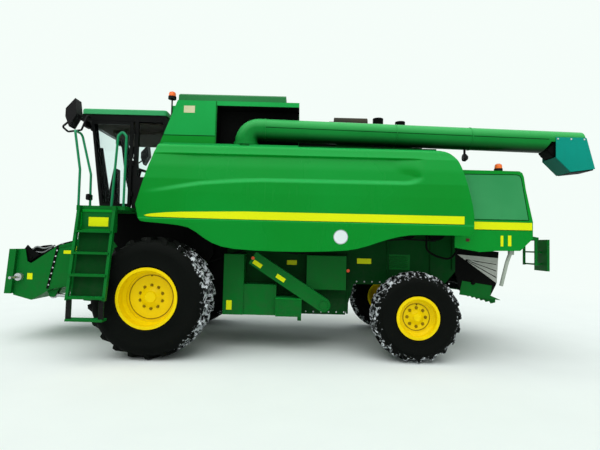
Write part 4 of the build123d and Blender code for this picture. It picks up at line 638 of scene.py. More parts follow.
for wheel in wheel_table:
    axle, hand, side, x, y, radius, width, rim, rim_width, pairs, lug, bolts, bolt_circle, dish = wheel
    body = f"{axle}_wheel_{hand}"
    half, bead, flat = width / 2, rim - 0.0275, rim_width / 2 - 0.0145
    crown = [(t, outer_radius(t, radius, width) - lug) for t in (0.0, 0.3 * half, 0.6 * half, half - 0.075)]
    middle = (rim + radius) / 2
    wall = [
        (half - 0.045, radius - 0.022 - lug - 0.02), (half - 0.022, radius - 0.115),
        (half - 0.006, radius - 0.165),
        (half - 0.001, middle + 0.03), (half - 0.001, middle), (half - 0.006, middle - 0.02),
        (half - 0.008, middle - 0.055), (half - 0.02, rim + 0.075), (flat + 0.012, rim + 0.05),
        (flat + 0.016, rim + 0.028), (flat + 0.004, rim + 0.01), (flat - 0.004, rim + 0.004),
        (flat - 0.01, bead),
    ]
    outline = crown + wall
    profile = [(p, r) for p, r in outline] + [(-p, r) for p, r in reversed(outline) if p > 0]
    shapes = [turned(profile, (0, 0, 0), steps=96, closed=True)]
    spread = [-0.04 * half, 0.2 * half, 0.45 * half, 0.7 * half, half - 0.07, half - 0.032, half - 0.012]
    lean = 0.62 * half / radius
    lugs = []
    for hand_side in (1, -1):
        phase = 0 if hand_side > 0 else math.pi / pairs
        points, faces = [], []
        for k, p in enumerate(spread):
            share = (p - spread[0]) / (spread[-1] - spread[0])
            turn = phase + lean * (1 - share) ** 1.25
            top = outer_radius(max(p, 0), radius, width)
            wide = 0.019 + 0.010 * share + (0.008 if k in (0, 1) else 0)
            if k == len(spread) - 1:
                top -= 0.045
            base = top - lug - 0.012 if k < 5 else top - 0.035
            for r, w in ((base, wide + 0.013), (top, wide), (top, -wide), (base, -wide - 0.013)):
                a = turn + w / r
                points.append((r * math.sin(a), hand_side * min(p, half - 0.002), r * math.cos(a)))
        for k in range(len(spread) - 1):
            faces += [(4 * k + i, 4 * k + i + 1, 4 * k + i + 5, 4 * k + i + 4) for i in range(3)]
            faces.append((4 * k + 3, 4 * k, 4 * k + 4, 4 * k + 7))
        faces += [(0, 1, 2, 3), tuple(4 * len(spread) - 1 - i for i in range(4))]
        lugs.append((points, faces))
    ring = repeated(f"{axle}_lugs_{hand}", lugs, tyre_rubber, body, pairs, turn=(0, 2 * math.pi / pairs, 0))
    carcass = piece(f"{axle}_carcass_{hand}", shapes, tyre_rubber, body)
    tyre_mesh = bmesh.new()
    tyre_mesh.from_mesh(carcass.data)
    tyre_mesh.from_mesh(ring.data)
    mesh = bpy.data.meshes.new(f"{axle}_tyre")
    tyre_mesh.to_mesh(mesh)
    tyre_mesh.free()
    mesh.materials.append(tyre_rubber)
    amount = mesh.attributes.new("tread", "FLOAT", "POINT")
    packed = []
    for v in mesh.vertices:
        rim_side = max(0.0, min(1.0, (math.hypot(v.co.x, v.co.z) - radius + 0.17) / 0.1))
        lee = max(0.0, min(1.0, (-v.co.x / radius - 0.1) / 0.6)) if axle == "front" else 0.92
        packed.append(rim_side * lee)
    amount.data.foreach_set("value", packed)
    mesh.transform(Matrix.Translation((x, side * y, radius)))
    bpy.data.objects.remove(ring)
    bpy.data.objects.remove(carcass)
    tyre = bpy.data.objects.new(f"{axle}_lugged_tyre_{hand}", mesh)
    scene.collection.objects.link(tyre)
    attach(tyre, body)
    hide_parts(f"{axle}_tyre_{hand}")

    dress(yellow, f"{axle}_rim_{hand}")
    face_y = dish + 0.014
    nut = turned(
        [
            (face_y, 0.0), (face_y, 0.026), (face_y + 0.005, 0.026), (face_y + 0.005, 0.014),
            (face_y + 0.024, 0.014), (face_y + 0.027, 0.010), (face_y + 0.027, 0.0),
        ],
        (0, 0, bolt_circle), steps=6,
    )
    shape = moved(nut if side > 0 else flipped(nut), (x, side * y, radius))
    repeated(
        f"{axle}_nuts_{hand}", [shape], yellow_shade, body, bolts, turn=(0, 2 * math.pi / bolts, 0),
        centre=(x, 0, radius),
    )
    valve = turned(
        [(face_y, 0.0), (face_y, 0.007), (face_y + 0.04, 0.006), (face_y + 0.04, 0.0)], (0, 0, rim - 0.13),
        steps=10,
    )
    piece(
        f"{axle}_valve_{hand}", [moved(valve if side > 0 else flipped(valve), (x, side * y, radius))],
        black_steel, body,
    )
    step_ring = turned(
        [
            (face_y - 0.002, rim - 0.125), (face_y + 0.006, rim - 0.123), (face_y + 0.006, rim - 0.113),
            (face_y - 0.002, rim - 0.111),
        ],
        (0, 0, 0), steps=72, closed=True,
    )
    piece(
        f"{axle}_rim_ring_{hand}",
        [moved(step_ring if side > 0 else flipped(step_ring), (x, side * y, radius))], yellow_shade, body,
    )

# Feeder house: long sheet steel duct with pressed ribs and a seam where its front part is bolted
# on, a leaning frame with hooks and grey hoses for the header, and clipped steel oil pipes.
dress(half_shade_green, "feeder_house")
dress(black_steel, "feeder_conveyor")
dress(plain_steel, "header_drive", "lift_rod_left", "lift_rod_right")
dress(half_shade_green, "lift_barrel_left", "lift_barrel_right")
for side, hand in both_sides:
    seam = prism([(3.775, 1.555), (3.815, 1.548), (3.95, 0.86), (3.915, 0.86)], 0.69, 0.704)
    rib = prism([(3.0, 1.70), (3.035, 1.69), (3.035, 1.03), (3.0, 1.04)], 0.69, 0.702)
    lip = prism(
        [(2.62, 1.815), (3.43, 1.638), (3.79, 1.542), (3.79, 1.518), (3.43, 1.612), (2.62, 1.79)], 0.69,
        0.7,
    )
    foot = prism([(2.66, 1.11), (3.895, 0.875), (3.895, 0.852), (2.66, 1.085)], 0.69, 0.7)
    piece(f"feeder_ribs_{hand}", sided((rib, lip, foot), side), half_shade_green, "feeder", 0.003)
    piece(f"feeder_seam_{hand}", sided([seam], side), black_steel, "feeder", 0.002)
    bolt = moved(bolt_head, (3.80, 0.704, 1.48))
    repeated(
        f"feeder_bolts_{hand}", sided([bolt], side), plain_steel, "feeder", 7, step=(0.0185, 0, -0.0935),
    )
hooks = []
for side in (1, -1):
    hooks += sided([
        prism(
            [(3.93, 1.53), (4.40, 1.18), (4.43, 1.36), (4.30, 1.50), (4.1, 1.555), (3.97, 1.57)], 0.56,
            0.585,
        ),
        prism([(4.12, 1.4), (4.36, 1.22), (4.40, 1.46), (4.33, 1.56), (4.27, 1.5)], 0.62, 0.645),
    ], side)
hooks.append(block((4.15, -0.585, 1.4), (4.19, 0.585, 1.44)))
piece("header_hooks", hooks, black_steel, "feeder", 0.004)
hose_grey = weathered(
    "grey_hose", (0.14, 0.15, 0.15), (0.22, 0.235, 0.235), amount=0.3, gloss_loss=0.5, grain=300.0,
)
header_hoses = [
    pipe(
        [(3.9, 0.6, 1.56), (4.08, 0.605, 1.5), (4.2, 0.61, 1.55), (4.33, 0.61, 1.4), (4.36, 0.61, 1.25)],
        0.013, 0.1,
    ),
    pipe([(3.95, 0.6, 1.52), (4.1, 0.6, 1.43), (4.24, 0.6, 1.46), (4.3, 0.6, 1.3)], 0.011, 0.1),
]
piece("header_hoses", header_hoses, hose_grey, "feeder")
oil_pipes = [
    pipe(
        [(3.46, 0.5, 1.62), (3.47, 0.5, 1.672), (3.8, 0.5, 1.58), (4.35, 0.5, 1.24), (4.35, 0.62, 1.3)],
        0.014,
    ),
    pipe(
        [
            (3.46, 0.56, 1.62), (3.47, 0.56, 1.672), (3.8, 0.56, 1.58), (4.25, 0.56, 1.31),
            (4.25, 0.66, 1.36),
        ],
        0.014,
    ),
    pipe([(3.46, 0.62, 1.62), (3.47, 0.62, 1.672), (3.8, 0.62, 1.58), (4.05, 0.62, 1.43)], 0.011),
]
piece("feeder_oil_pipes", oil_pipes, black_steel, "feeder")
clips = [block((x, 0.48, z), (x + 0.03, 0.645, z + 0.02)) for x, z in ((3.54, 1.645), (3.74, 1.586))]
piece("feeder_pipe_clips", clips, plain_steel, "feeder", 0.002)

# Cab: dark pressed steel frame with rubber-sealed glass all round and lined pillars, and a thin
# green roof over a brown headliner. The panes are single sheets of tinted safety glass.
dark_frame = weathered("cab_frame_black", (
    0.003, 0.0035, 0.0035,
), (0.006, 0.0065, 0.0065), amount=0.15, gloss_loss=0.35, relief=0.1,
                       specular=0.06)
dark_plastic = weathered("dark_plastic", (
    0.005, 0.005, 0.0055,
), (0.01, 0.01, 0.0105), amount=0.2, top=2.0, gloss_loss=0.45, grain=700.0,
                         relief=0.35, specular=0.1)
headliner = weathered(
    "headliner", (0.022, 0.018, 0.012), (0.032, 0.026, 0.018), amount=0.1, gloss_loss=0.7, grain=500.0,
    relief=0.5,
)
dress(dark_frame, "cab_frame", "cab_door")
dress(roof_green, "cab_roof")
dress(dark_plastic, "mirrors", "cab_controls")


def clear(name, tint, faint):
    made = bpy.data.materials.new(name)
    made.use_nodes = True
    tree = made.node_tree
    surface = tree.nodes["Principled BSDF"]
    place = node(tree, "ShaderNodeTexCoord").outputs["Object"]
    film = clouds(tree, place, 2.2, 6.0)
    rough = node(
        tree, "ShaderNodeMapRange", {},
        {"Value": film.outputs["Fac"], "From Min": 0.45, "From Max": 0.75, "To Min": 0.0, "To Max": faint},
    )
    colour = mixed(tree, film.outputs["Fac"], (*tint, 1), tuple(min(1, c * 1.04) for c in tint) + (1,))
    tree.links.new(rough.outputs[0], surface.inputs["Roughness"])
    tree.links.new(colour.outputs[2], surface.inputs["Base Color"])
    surface.inputs["Transmission Weight"].default_value = 1.0
    surface.inputs["IOR"].default_value = 1.1
    return made


window_glass = clear("window_glass", (0.86, 0.93, 0.92), 0.08)
dress(window_glass, "cab_glass", "door_glass")
piece(
    "cab_headliner",
    [block((2.1, -0.8, 3.56), (3.3, 0.8, 3.598)), block((2.2, -0.45, 3.5), (3.1, 0.45, 3.562))], headliner,
    "chassis", 0.012,
)
linings = [
    [(3.153, 3.167), (3.087, 3.168), (2.914, 2.256), (3.011, 2.254)],
    [(2.801, 3.324), (2.703, 3.327), (2.530, 2.739), (2.445, 2.284), (2.591, 2.281), (2.709, 2.735)],
]
piece(
    "pillar_linings", [prism(outline, 0.785, 0.815) for outline in linings], dark_frame, "chassis", 0.004,
)
column = [(3.06, 2.215), (3.22, 2.215), (3.2, 2.55), (3.14, 2.93), (3.08, 2.93)]
piece("steering_cowl", [prism(column, 0.12, 0.28)], dark_plastic, "chassis", 0.012)
piece(
    "door_handle",
    [pipe([(2.64, 0.885, 2.7), (2.64, 0.92, 2.7), (2.64, 0.92, 2.95), (2.64, 0.885, 2.95)], 0.011)],
    dark_plastic, "cab_door",
)

# Operator's seat: foam cushion and backrest in black woven cloth on a sprung pedestal, with a
# padded armrest. The pads are sewn covers stretched over foam.
seat_cloth = bpy.data.materials.new("seat_cloth")
seat_cloth.use_nodes = True
tree = seat_cloth.node_tree
place = node(tree, "ShaderNodeTexCoord").outputs["Object"]
warp = node(
    tree, "ShaderNodeTexWave", {"bands_direction": "Z"},
    {"Vector": place, "Scale": 160.0, "Distortion": 1.5},
)
weft = node(
    tree, "ShaderNodeTexWave", {"bands_direction": "Y"},
    {"Vector": place, "Scale": 160.0, "Distortion": 1.5},
)
weave = node(
    tree, "ShaderNodeMath", {"operation": "MAXIMUM"}, {0: warp.outputs["Fac"], 1: weft.outputs["Fac"]},
)
worn = clouds(tree, place, 7.0, 4.0)
shade = mixed(tree, worn.outputs["Fac"], (0.012, 0.012, 0.013, 1), (0.045, 0.045, 0.046, 1))
rough = node(tree, "ShaderNodeMapRange", {}, {"Value": weave.outputs[0], "To Min": 0.95, "To Max": 0.8})
bump = node(tree, "ShaderNodeBump", {}, {"Strength": 0.5, "Distance": 0.002, "Height": weave.outputs[0]})
surface = tree.nodes["Principled BSDF"]
surface.inputs["Sheen Weight"].default_value = 0.3
tree.links.new(shade.outputs[2], surface.inputs["Base Color"])
tree.links.new(rough.outputs[0], surface.inputs["Roughness"])
tree.links.new(bump.outputs[0], surface.inputs["Normal"])


def pad(name, low, high, tilt, swell):
    form = bmesh.new()
    bmesh.ops.create_cube(form, size=1)
    size = [b - a for a, b in zip(low, high)]
    for v in form.verts:
        v.co = Vector([c * s for c, s in zip(v.co, size)])
    bmesh.ops.bevel(form, geom=form.edges[:], offset=0.025, segments=3, affect="EDGES")
    mesh = bpy.data.meshes.new(name)
    form.to_mesh(mesh)
    form.free()
    made = bpy.data.objects.new(name, mesh)
    scene.collection.objects.link(made)
    centre = Vector([(a + b) / 2 for a, b in zip(low, high)])
    turn = Matrix.Rotation(math.radians(tilt), 4, "Y")
    remesh = made.modifiers.new("remesh", "REMESH")
    remesh.mode = "VOXEL"
    remesh.voxel_size = 0.012
    mesh = bpy.data.meshes.new_from_object(made.evaluated_get(bpy.context.evaluated_depsgraph_get()))
    made.modifiers.remove(remesh)
    made.data = mesh
    rest = [v.co.copy() for v in mesh.vertices]
    cloth = made.modifiers.new("cloth", "CLOTH")
    cloth.settings.use_pressure = True
    cloth.settings.uniform_pressure_force = 4
    cloth.settings.effector_weights.gravity = 0
    for step in range(1, 15):
        scene.frame_set(step)
    blown = bpy.data.meshes.new_from_object(made.evaluated_get(bpy.context.evaluated_depsgraph_get()))
    made.modifiers.remove(cloth)
    scene.frame_set(1)
    for v, start, end in zip(mesh.vertices, rest, [v.co.copy() for v in blown.vertices]):
        step = end - start
        v.co = start + step * min(1.0, swell / max(step.length, 1e-6))
    bpy.data.meshes.remove(blown)
    for v in mesh.vertices:
        for line in (-0.32, 0.32):
            gap = abs(v.co.y / size[1] - line) * size[1]
            if gap < 0.02:
                v.co *= 1 - 0.05 * (1 - gap / 0.02)
    mesh.transform(Matrix.Translation(centre) @ turn)
    finer = made.modifiers.new("finer", "SUBSURF")
    finer.levels = finer.render_levels = 1
    mesh = bpy.data.meshes.new_from_object(made.evaluated_get(bpy.context.evaluated_depsgraph_get()))
    made.modifiers.remove(finer)
    made.data = mesh
    for face in mesh.polygons:
        face.use_smooth = True
    mesh.materials.clear()
    mesh.materials.append(seat_cloth)
    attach(made, "chassis")
    return made


pad("seat_cushion", (2.3, -0.235, 2.545), (2.69, 0.235, 2.625), -3, 0.016)
pad("seat_backrest", (2.225, -0.225, 2.68), (2.29, 0.225, 3.3), -6, 0.016)
pedestal = [
    block((2.25, -0.19, 2.201), (2.61, 0.19, 2.26)),
    *[
        block(
            (2.28 + k * 0.004, -0.17 + k * 0.004, 2.262 + k * 0.045),
            (2.58 - k * 0.004, 0.17 - k * 0.004, 2.3 + k * 0.045),
        )
        for k in range(5)
    ],
    block((2.26, -0.22, 2.49), (2.66, 0.22, 2.53)),
    block((2.215, -0.06, 2.5), (2.25, 0.06, 2.75)),
    pipe([(2.25, 0.25, 2.6), (2.25, 0.265, 2.78), (2.55, 0.265, 2.8)], 0.022),
]
piece(
    "seat_pedestal", pedestal, dark_plastic, "chassis", 0.006, replaces=("operator_seat",),
)

# Platform, rails and ladder: welded steel tube and plate, painted green. The treads are serrated
# for grip, and the hanging bottom step swings on two thick rubber straps.
dress(half_shade_green, "platform", "ladder")
dress(rail_green, "handrails")
slats = block((2.34, 0.87, 2.1503), (2.352, 1.62, 2.156))
repeated("deck_grip", [slats], green, "chassis", 26, step=(0.0245, 0, 0))
for k, (z, y) in enumerate(((0.87, 1.877), (1.17, 1.830), (1.47, 1.782), (1.77, 1.735))):
    tooth = block((2.485, y - 0.058, z + 0.0283), (2.497, y + 0.034, z + 0.033))
    repeated(f"tread_grip_{k}", [tooth], green, "ladder", 18, step=(0.026, 0, 0))
# A thin sheet of the darkest shaded green over the riser behind the treads: painted shade.
riser_shade = prism([(1.6645, 1.79), (1.667, 1.79), (1.811, 0.88), (1.8085, 0.88)], 2.475, 2.93, "x")
piece("ladder_riser_shade", [riser_shade], full_shade_green, "ladder")
rubber_strap = weathered(
    "rubber_strap", (0.006, 0.006, 0.006), (0.012, 0.012, 0.012), gloss_loss=0.6, grain=300.0, relief=0.3,
    specular=0.05,
)
straps = [block((x - 0.037, 1.869, 0.6), (x + 0.037, 1.891, 0.86)) for x in (2.925, 2.485)]
piece("step_straps", straps, rubber_strap, "ladder", 0.004)
recess = [
    block((2.47, 1.651, 2.06), (2.94, 1.663, 2.1)), block((2.47, 1.651, 1.80), (2.94, 1.663, 1.82)),
    block((2.47, 1.651, 1.80), (2.49, 1.663, 2.1)), block((2.92, 1.651, 1.80), (2.94, 1.663, 2.1)),
]
piece("apron_border", recess, green, "chassis", 0.003)
work_lamp = [block((2.985, 1.25, 2.26), (3.04, 1.37, 2.35))]
piece("rail_lamp", work_lamp, dark_plastic, "chassis", 0.01)

# Grain tank: sheet steel hopper with a pressed groove along its front panel and a folded lip over
# the unloading elbow. Two shallow steel covers close it, with galvanised augers inside.
galvanised = weathered(
    "galvanised", (0.42, 0.43, 0.44), (0.58, 0.59, 0.6), amount=0.35, top=2.0, gloss_loss=0.35, grain=90.0,
    relief=0.08, shader={"Metallic": 0.7},
)
dress(tank_green, "grain_tank")
dress(cover_green, "tank_cover_left", "tank_cover_right")
dress(tube_green, "auger_turret", "unloading_auger")
dress(galvanised, "tank_augers", "rotary_screen")
# The recessed strip along the foot of the tank's front panel is drawn flat in the darker body green, and
# the groove above it as a thin strip of the darkest shaded green: painted shade of the recess and groove.
tank_band = [(1.175, 3.172), (2.033, 3.172), (1.985, 3.304), (1.175, 3.304)]
tank_groove = [(1.175, 3.304), (1.985, 3.304), (1.981, 3.317), (1.175, 3.317)]
for side, hand in both_sides:
    for name, outline, off, material in (
        ("band", tank_band, 0.0025, green), ("groove", tank_groove, 0.003, full_shade_green),
    ):
        strip = prism(outline, 1.1895, 1.19 + off)
        piece(f"tank_{name}_{hand}", sided([strip], side), material, "chassis")
# Black sheets line the recess behind the unloading elbow: painted shade in the recess.
recess = [
    block((-0.098, 0.9142, 3.172), (1.168, 0.92, 3.788)),
    block((1.162, 0.9142, 3.172), (1.168, 1.187, 3.788)),
    block((-0.098, 0.9142, 3.782), (1.168, 1.187, 3.788)),
]
piece("tank_recess_shade", recess, black_steel, "chassis")
piece(
    "tank_corner", [block((1.172, 1.188, 3.18), (1.186, 1.195, 3.855))], half_shade_green, "chassis", 0.001,
)

# Unloading auger: long steel tube with a welded seam and flange rings. A teal rubber boot is
# riveted over its mouth and opens downwards; black sheets over its front and across its mouth are
# painted shade. A work lamp hangs under it.
tube_y, elbow_x, elbow_z, tube_slope = 1.112, 0.715, 3.445, math.tan(math.radians(1.0))


def tube_z(x):
    return elbow_z - (elbow_x - x) * tube_slope


rings = []
for x, thick in ((0.42, 0.03), (-1.6, 0.012), (-2.75, 0.02)):
    rings.append(
        turned(
            [
                (x - thick / 2, 0.165), (x - thick / 2, 0.177), (x + thick / 2, 0.177),
                (x + thick / 2, 0.165),
            ],
            (0, tube_y, tube_z(x)), "x", 48, True,
        )
    )
piece("auger_rings", rings, tube_green, "unloading_auger")
seam_ends = [(x, tube_y + 0.1712, tube_z(x) + 0.005) for x in (0.4, -3.9)]
piece("auger_seam", [pipe(seam_ends, 0.005, sides=8)], full_shade_green, "unloading_auger")
lamp_arm = [
    block((-2.70, 1.10, 3.14), (-2.67, 1.124, 3.23)),
    turned(
        [(-2.66, 0.0), (-2.66, 0.055), (-2.70, 0.06), (-2.735, 0.03), (-2.735, 0.0)], (0, 1.112, 3.09), "x",
        20,
    ),
]
piece("auger_lamp", lamp_arm, dark_plastic, "unloading_auger", 0.002)
# The boot's teal also takes painted top light and painted under shade.
teal = weathered("teal_rubber", (
    0.0003, 0.24, 0.175,
), (0.0015, 0.28, 0.21), (0.01, 0.36, 0.28), 0.8, 0.85, (0.02, 0.08, 0.08), 0.25,
                 gloss_loss=0.42, grain=180.0, relief=0.3)
boot_side = [(-4.002, 3.395), (-4.461, 3.395), (-4.585, 2.928), (-4.228, 2.875), (-4.0, 3.096)]
boot = [prism(boot_side, 1.284, 1.292), prism(boot_side, 0.932, 0.94)]
for k in (0, 1, 3):
    (xa, za), (xb, zb) = boot_side[k], boot_side[(k + 1) % 5]
    length = math.hypot(xb - xa, zb - za)
    off = (-(zb - za) / length * -0.008, (xb - xa) / length * -0.008)
    boot.append(
        prism([(xa, za), (xb, zb), (xb + off[0], zb + off[1]), (xa + off[0], za + off[1])], 0.936, 1.288)
    )
piece("boot_hopper", boot, teal, "unloading_auger", replaces=("spout_boot",))
# Black sheets over the boot's front and across its open mouth: painted shade.
front_shade = [(-4.03, 3.36), (-3.885, 3.21), (-3.93, 3.15), (-4.0, 3.1), (-4.03, 3.1)]
piece("boot_front_shade", [prism(front_shade, 1.0, 1.25)], black_steel, "unloading_auger", 0.012)
mouth = [(-4.57, 2.925), (-4.575, 2.91), (-4.24, 2.867), (-4.235, 2.885)]
piece("boot_mouth_shade", [prism(mouth, 0.945, 1.279)], black_steel, "unloading_auger", 0.003)
rivet = turned([(1.292, 0.0), (1.292, 0.014), (1.297, 0.012), (1.297, 0.0)], (-4.03, 0, 3.375), steps=12)
repeated("boot_rivets", [rivet], plain_steel, "unloading_auger", 3, step=(-0.2, 0, 0))

# Side shields: big moulded panels of painted plastic, hinged along their top edges. Each has a
# fold under its top edge, a wide recess over a ledge that curls up at its rear end, and a yellow
# stripe of film in a shallow channel, with a thin dark line of painted shadow along its lower edge.
shield_wave = [
    (-0.6, 1.588), (-0.2, 1.57), (0.2, 1.567), (0.55, 1.575), (0.8, 1.59), (0.98, 1.62), (1.12, 1.67),
    (1.24, 1.74),
    (1.36, 1.825), (1.47, 1.885), (1.62, 1.915), (1.85, 1.935), (2.10, 1.952), (2.165, 1.965), (2.20, 2.01),
    (2.245, 2.20),
]
shield_outline = [
    (1.995, 3.144), (-2.15, 3.143), (-2.23, 3.137), (-2.31, 3.116), (-2.37, 3.088), (-2.42, 3.045),
    (-2.457, 3.0),
    (-2.487, 2.95), (-2.51, 2.89), (-2.53, 2.83), (-2.58, 2.64), (-2.625, 2.46), (-2.66, 2.3),
    (-2.682, 2.15),
    (-2.684, 2.04), (-2.68, 1.95), (-2.668, 1.9), (-2.64, 1.873), (-2.58, 1.865), (-1.93, 1.86),
    (-1.75, 1.85),
    (-1.60, 1.825), (-1.45, 1.785), (-1.30, 1.735), (-1.15, 1.68), (-1.0, 1.635), (-0.85, 1.607),
    *shield_wave,
]
right_outline = [(1.995, 3.144), (-0.76, 3.144), (-0.76, 1.60), *shield_wave]
shield_side = [
    (3.165, 1.3165), (3.144, 1.3165), (3.118, 1.357), (3.05, 1.383), (2.98, 1.418), (2.8, 1.462),
    (2.6, 1.492), (2.4, 1.4995),
    (2.012, 1.4995), (1.999, 1.5045), (1.96, 1.502), (1.9, 1.493), (1.7, 1.471), (1.5, 1.452),
]
ledge_line = [(2.25, 2.3), (
    2.147, 2.341,
), (1.901, 2.392), (1.611, 2.45), (1.32, 2.502), (0.883, 2.542), (0.445, 2.568), (-1.70, 2.576),
              (-1.80, 2.59), (-1.88, 2.63), (-1.93, 2.69), (-1.965, 2.78), (-1.985, 2.9), (-2.0, 3.1),
              (-2.02, 3.4)]
ledge_width, ledge_depth, recess_front, recess_top = 0.075, 0.045, 2.25, 2.992
stripe_high = [
    (2.109, 2.0465), (2.09, 2.056), (2.023, 2.071), (1.806, 2.094), (1.56, 2.109), (0.661, 2.135),
    (-2.54, 2.143),
]
stripe_low = [
    (2.109, 2.0445), (2.09, 2.036), (2.023, 2.028), (1.56, 2.023), (0.66, 2.02), (-0.5, 2.021),
    (-2.54, 2.027),
]


def between(table, value):
    for (a, b), (c, d) in zip(table, table[1:]):
        if min(a, c) <= value <= max(a, c):
            return b + (d - b) * (value - a) / (c - a)
    return table[0][1] if abs(value - table[0][0]) < abs(value - table[-1][0]) else table[-1][1]


def smooth(value):
    value = max(0.0, min(1.0, value))
    return value * value * (3 - 2 * value)


def shield_y(x, z):
    slope = (between(ledge_line, x - 0.01) - between(ledge_line, x + 0.01)) / 0.02
    width = ledge_width * (1 + 8 * smooth((z - 2.68) / 0.25) * smooth((-1.3 - x) / 0.5))
    inside = (z - between(ledge_line, x)) / math.hypot(1, slope) / width
    depth = ledge_depth * smooth((recess_front - x) / 0.9) * smooth((recess_top - z) / 0.024)
    return between(shield_side, z) - depth * smooth(inside)


def shield(name, outline, side, hand, wall=0.02):
    form = bmesh.new()
    form.faces.new([form.verts.new((x, 0, z)) for x, z in outline])
    levels = [1.6 + 0.04 * k for k in range(39)] + [2.3 + 0.0125 * k for k in range(36)]
    levels += [1.996, 2.002, 2.007, 2.013, 2.965, 2.972, 2.979, 2.986, 2.993, 3.118, 3.132]
    cuts = [((0, 0, z), (0, 0, 1)) for z in levels] + [
        ((2.22 - 0.04 * k, 0, 0), (1, 0, 0))
        for k in range(123)
    ]
    for place, normal in cuts:
        bmesh.ops.bisect_plane(
            form, geom=form.verts[:] + form.edges[:] + form.faces[:], dist=1e-4, plane_co=place,
            plane_no=normal,
        )
    for v in form.verts:
        v.co.y = side * shield_y(v.co.x, v.co.z)
    bmesh.ops.recalc_face_normals(form, faces=form.faces)
    if sum(face.normal.y * side for face in form.faces) < 0:
        bmesh.ops.reverse_faces(form, faces=form.faces)
    for face in form.faces:
        face.smooth = True
    mesh = bpy.data.meshes.new(name)
    form.to_mesh(mesh)
    form.free()
    mesh.materials.append(green)
    made = bpy.data.objects.new(name, mesh)
    scene.collection.objects.link(made)
    thick = made.modifiers.new("thickness", "SOLIDIFY")
    thick.thickness = wall
    thick.offset = -1
    rounding = made.modifiers.new("edges", "BEVEL")
    rounding.width = 0.006
    rounding.segments = 3
    rounding.limit_method = "ANGLE"
    rounding.angle_limit = math.radians(50)
    mesh = bpy.data.meshes.new_from_object(made.evaluated_get(bpy.context.evaluated_depsgraph_get()))
    made.modifiers.clear()
    made.data = mesh
    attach(made, f"shield_{hand}")
    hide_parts(f"shield_{hand}")
    return made


def film(name, rear, front, low, high, lift, material, side, hand, count=120):
    points, faces = [], []
    for k in range(count + 1):
        x = rear + (front - rear) * k / count
        bottom, top = low(x), high(x)
        for z, off in ((bottom, lift), (top, lift), (top, -0.002), (bottom, -0.002)):
            points.append((x, shield_y(x, z) + off, z))
        if k:
            faces += [
                tuple(
                    4 * (k - 1) + i
                    for i in (j, (j + 1) % 4)
                ) + tuple(4 * k + i for i in ((j + 1) % 4, j))
                for j in range(4)
            ]
    faces += [(0, 1, 2, 3), tuple(4 * count + i for i in (3, 2, 1, 0))]
    piece(name, sided([(points, faces)], side), material, f"shield_{hand}")


for side, hand, outline, rear in ((1, "left", shield_outline, -2.54), (-1, "right", right_outline, -0.72)):
    shield(f"moulded_shield_{hand}", outline, side, hand)
    low, high = (lambda x: between(stripe_low, x)), (lambda x: between(stripe_high, x))
    film(f"shield_stripe_{hand}", rear, 2.109, low, high, 0.001, stripe_yellow, side, hand)
    # A thin strip of the darkest shaded green under the stripe: painted shadow.
    film(
        f"shield_stripe_shadow_{hand}", rear, 2.07, lambda x: low(x) - 0.008, low, 0.0008, full_shade_green, side,
        hand,
    )
white_disc = weathered("white_disc", (0.75, 0.82, 0.84), (0.82, 0.87, 0.88), amount=0.1, gloss_loss=0.3)
disc_rim = weathered("white_disc_rim", (0.35, 0.42, 0.45), (0.45, 0.5, 0.52), amount=0.2, gloss_loss=0.3)
for name, radius, inner, material in (
    ("blank_disc", 0.098, 0.0, white_disc), ("blank_disc_rim", 0.106, 0.095, disc_rim),
):
    disc = turned(
        [
            (1.4825, inner), (1.4825, radius), (1.4848 + inner * 0.004, radius),
            (1.4848 + inner * 0.004, inner),
        ],
        (-0.751, 0, 1.80), steps=48, closed=inner > 0,
    )
    piece(
        name, [([(x, y + 0.11 * (z - 1.80), z) for x, y, z in disc[0]], disc[1])], material, "shield_left",
    )

# Engine deck: plate floor with sills and rails behind the tank, and the radiator housing with a
# turning perforated screen on the right. The engine, its silencer and the intake duct on its posts
# stand in the open bay.
dress(green, "rear_hood")
dress(half_shade_green, "rear_ladder")
dress(half_shade_green, "grain_elevator")
# The deck is dressed in the darkest shaded green for the shade in the bay: painted shade.
dress(full_shade_green, "engine_deck")
dress(black_steel, "engine_block", "chopper_rotor")
rusty = weathered(
    "exhaust_steel", (0.03, 0.034, 0.026), (0.06, 0.05, 0.035), amount=0.3, gloss_loss=0.65, grain=120.0,
    relief=0.4,
)
dress(rusty, "exhaust")
engine_parts = [
    block((-1.9, -0.45, 2.9), (-1.3, 0.25, 2.98)),
    *[
        turned([(2.98, 0.0), (2.98, 0.05), (3.02, 0.05), (3.02, 0.0)], (x, -0.1, 0), "z", 16)
        for x in (-1.8, -1.65, -1.5, -1.4)
    ],
    pipe([(-1.3, 0.2, 2.94), (-1.1, 0.2, 2.98), (-0.86, 0.2, 3.05)], 0.05),
    turned([(-2.05, 0.0), (-2.05, 0.13), (-1.45, 0.13), (-1.45, 0.0)], (0, 0.62, 2.75), "x", 28),
]
piece("engine_top", engine_parts, black_steel, "chassis", 0.006)
# The intake duct is drawn black and runs forward to the tank, filling the dark bay under the unloading
# tube: partly painted shade.
duct = [
    block((-2.15, 0.42, 3.22), (-0.101, 0.7, 3.56)),
    *[block((x, 0.4, 3.21), (x + 0.03, 0.72, 3.57)) for x in (-0.7, -1.3, -1.9)],
]
duct += [block((x, 0.5, 2.2), (x + 0.04, 0.6, 3.23)) for x in (-1.12, -2.1)]
piece("air_duct", duct, black_steel, "chassis", 0.02)

